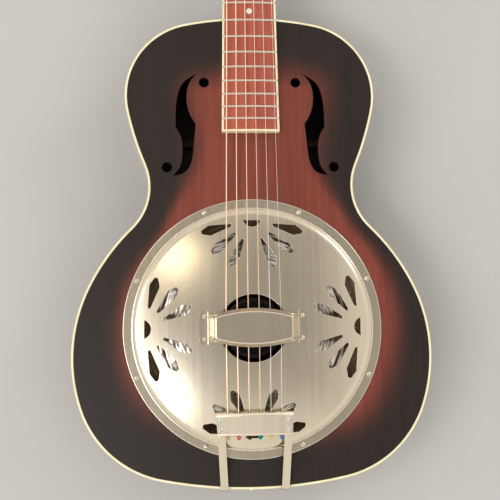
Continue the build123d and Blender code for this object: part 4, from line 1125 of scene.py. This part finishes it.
def build_floor():
    """A plain pale floor under the guitar's back."""
    mesh = bpy.data.meshes.new("floor")
    corners = [
        (x * FLOOR_HALF, y * FLOOR_HALF, -FLOOR_DROP) for x, y in ((-1, -1), (1, -1), (1, 1), (-1, 1))
    ]
    mesh.from_pydata(corners, [], [(0, 1, 2, 3)])
    paint = Paint("pale_floor", Roughness=0.8)
    cloud = paint.noise(paint.place(), 5, 3, 0.5)
    paint.colour(paint.mix(cloud, (0.44, 0.44, 0.435), (0.49, 0.49, 0.48)))
    mesh.materials.append(paint.material)
    floor = bpy.data.objects.new("floor", mesh)
    bpy.context.scene.collection.objects.link(floor)


def area_light(name, place, target, size, power, colour):
    """A soft rectangular light at a place, pointing at a target, in the frame's metres."""
    lamp = bpy.data.lights.new(name, "AREA")
    lamp.shape = "RECTANGLE"
    lamp.size, lamp.size_y = size
    lamp.energy = power
    lamp.color = colour
    light = bpy.data.objects.new(name, lamp)
    light.location = place
    light.rotation_euler = (Vector(target) - Vector(place)).to_track_quat("-Z", "Y").to_euler()
    bpy.context.scene.collection.objects.link(light)


def build_world():
    """A soft dome of warm white light, dim overhead and brighter lower down, sooner at the tail."""
    world = bpy.data.worlds.new("studio")
    bpy.context.scene.world = world
    world.use_nodes = True
    tree = world.node_tree
    where = tree.nodes.new("ShaderNodeTexCoord").outputs["Generated"]
    split = tree.nodes.new("ShaderNodeSeparateXYZ")
    tree.links.new(where, split.inputs[0])
    lean = tree.nodes.new("ShaderNodeMath")
    lean.operation = "MAXIMUM"
    for k, (axis, middle) in enumerate((("X", 0.0), ("Y", DIM_MIDDLE_Y))):
        apart = tree.nodes.new("ShaderNodeMath")
        apart.operation = "SUBTRACT"
        apart.inputs[1].default_value = middle
        tree.links.new(split.outputs[axis], apart.inputs[0])
        size = tree.nodes.new("ShaderNodeMath")
        size.operation = "ABSOLUTE"
        tree.links.new(apart.outputs[0], size.inputs[0])
        tree.links.new(size.outputs[0], lean.inputs[k])
    dome = tree.nodes.new("ShaderNodeMapRange")
    dome.interpolation_type = "SMOOTHSTEP"
    ranges = {
        "From Min": DIM_UNDER, "From Max": BRIGHT_OVER, "To Min": OVERHEAD_LIGHT, "To Max": SIDE_LIGHT,
    }
    for socket, value in ranges.items():
        dome.inputs[socket].default_value = value
    tree.links.new(lean.outputs[0], dome.inputs["Value"])
    background = tree.nodes["Background"]
    background.inputs["Color"].default_value = (1.0, 0.95, 0.87, 1)
    tree.links.new(dome.outputs[0], background.inputs["Strength"])


def build_light():
    """A warm lamp over the upper left, windows over the lower left and right, and one at the side."""
    build_world()
    lamps = (
        ("warm_lamp", (-0.65, 0.63, 2.05), (0.34, 0.34), 1.8, (1.0, 0.86, 0.66)),
        ("window_left", (-0.90, -0.74, 2.1), (0.6, 0.45), 6.0, (0.95, 0.98, 1.0)),
        ("window_right", (1.7, 1.3, 1.2), (0.7, 0.7), 9.0, (0.90, 1.0, 0.93)),
        ("window_side", (-1.5, -0.2, 1.8), (1.1, 0.8), 16.0, (1.0, 0.97, 0.94)),
    )
    for name, place, size, power, colour in lamps:
        area_light(name, ORIGIN + Vector(place), ORIGIN, size, power, colour)


def build_camera():
    """A phone held over the cover plate, looking almost straight down."""
    camera = bpy.data.objects.new("camera", bpy.data.cameras.new("camera"))
    camera.location = at(*CAMERA_PLACE)
    camera.rotation_euler = [math.radians(angle) for angle in CAMERA_TURN]
    camera.data.lens = CAMERA_LENS
    camera.data.sensor_width = 36
    camera.data.clip_start = 0.01
    bpy.context.scene.collection.objects.link(camera)
    bpy.context.scene.camera = camera


build_floor()
build_light()
build_camera()
bpy.context.scene.view_settings.view_transform = "Standard"
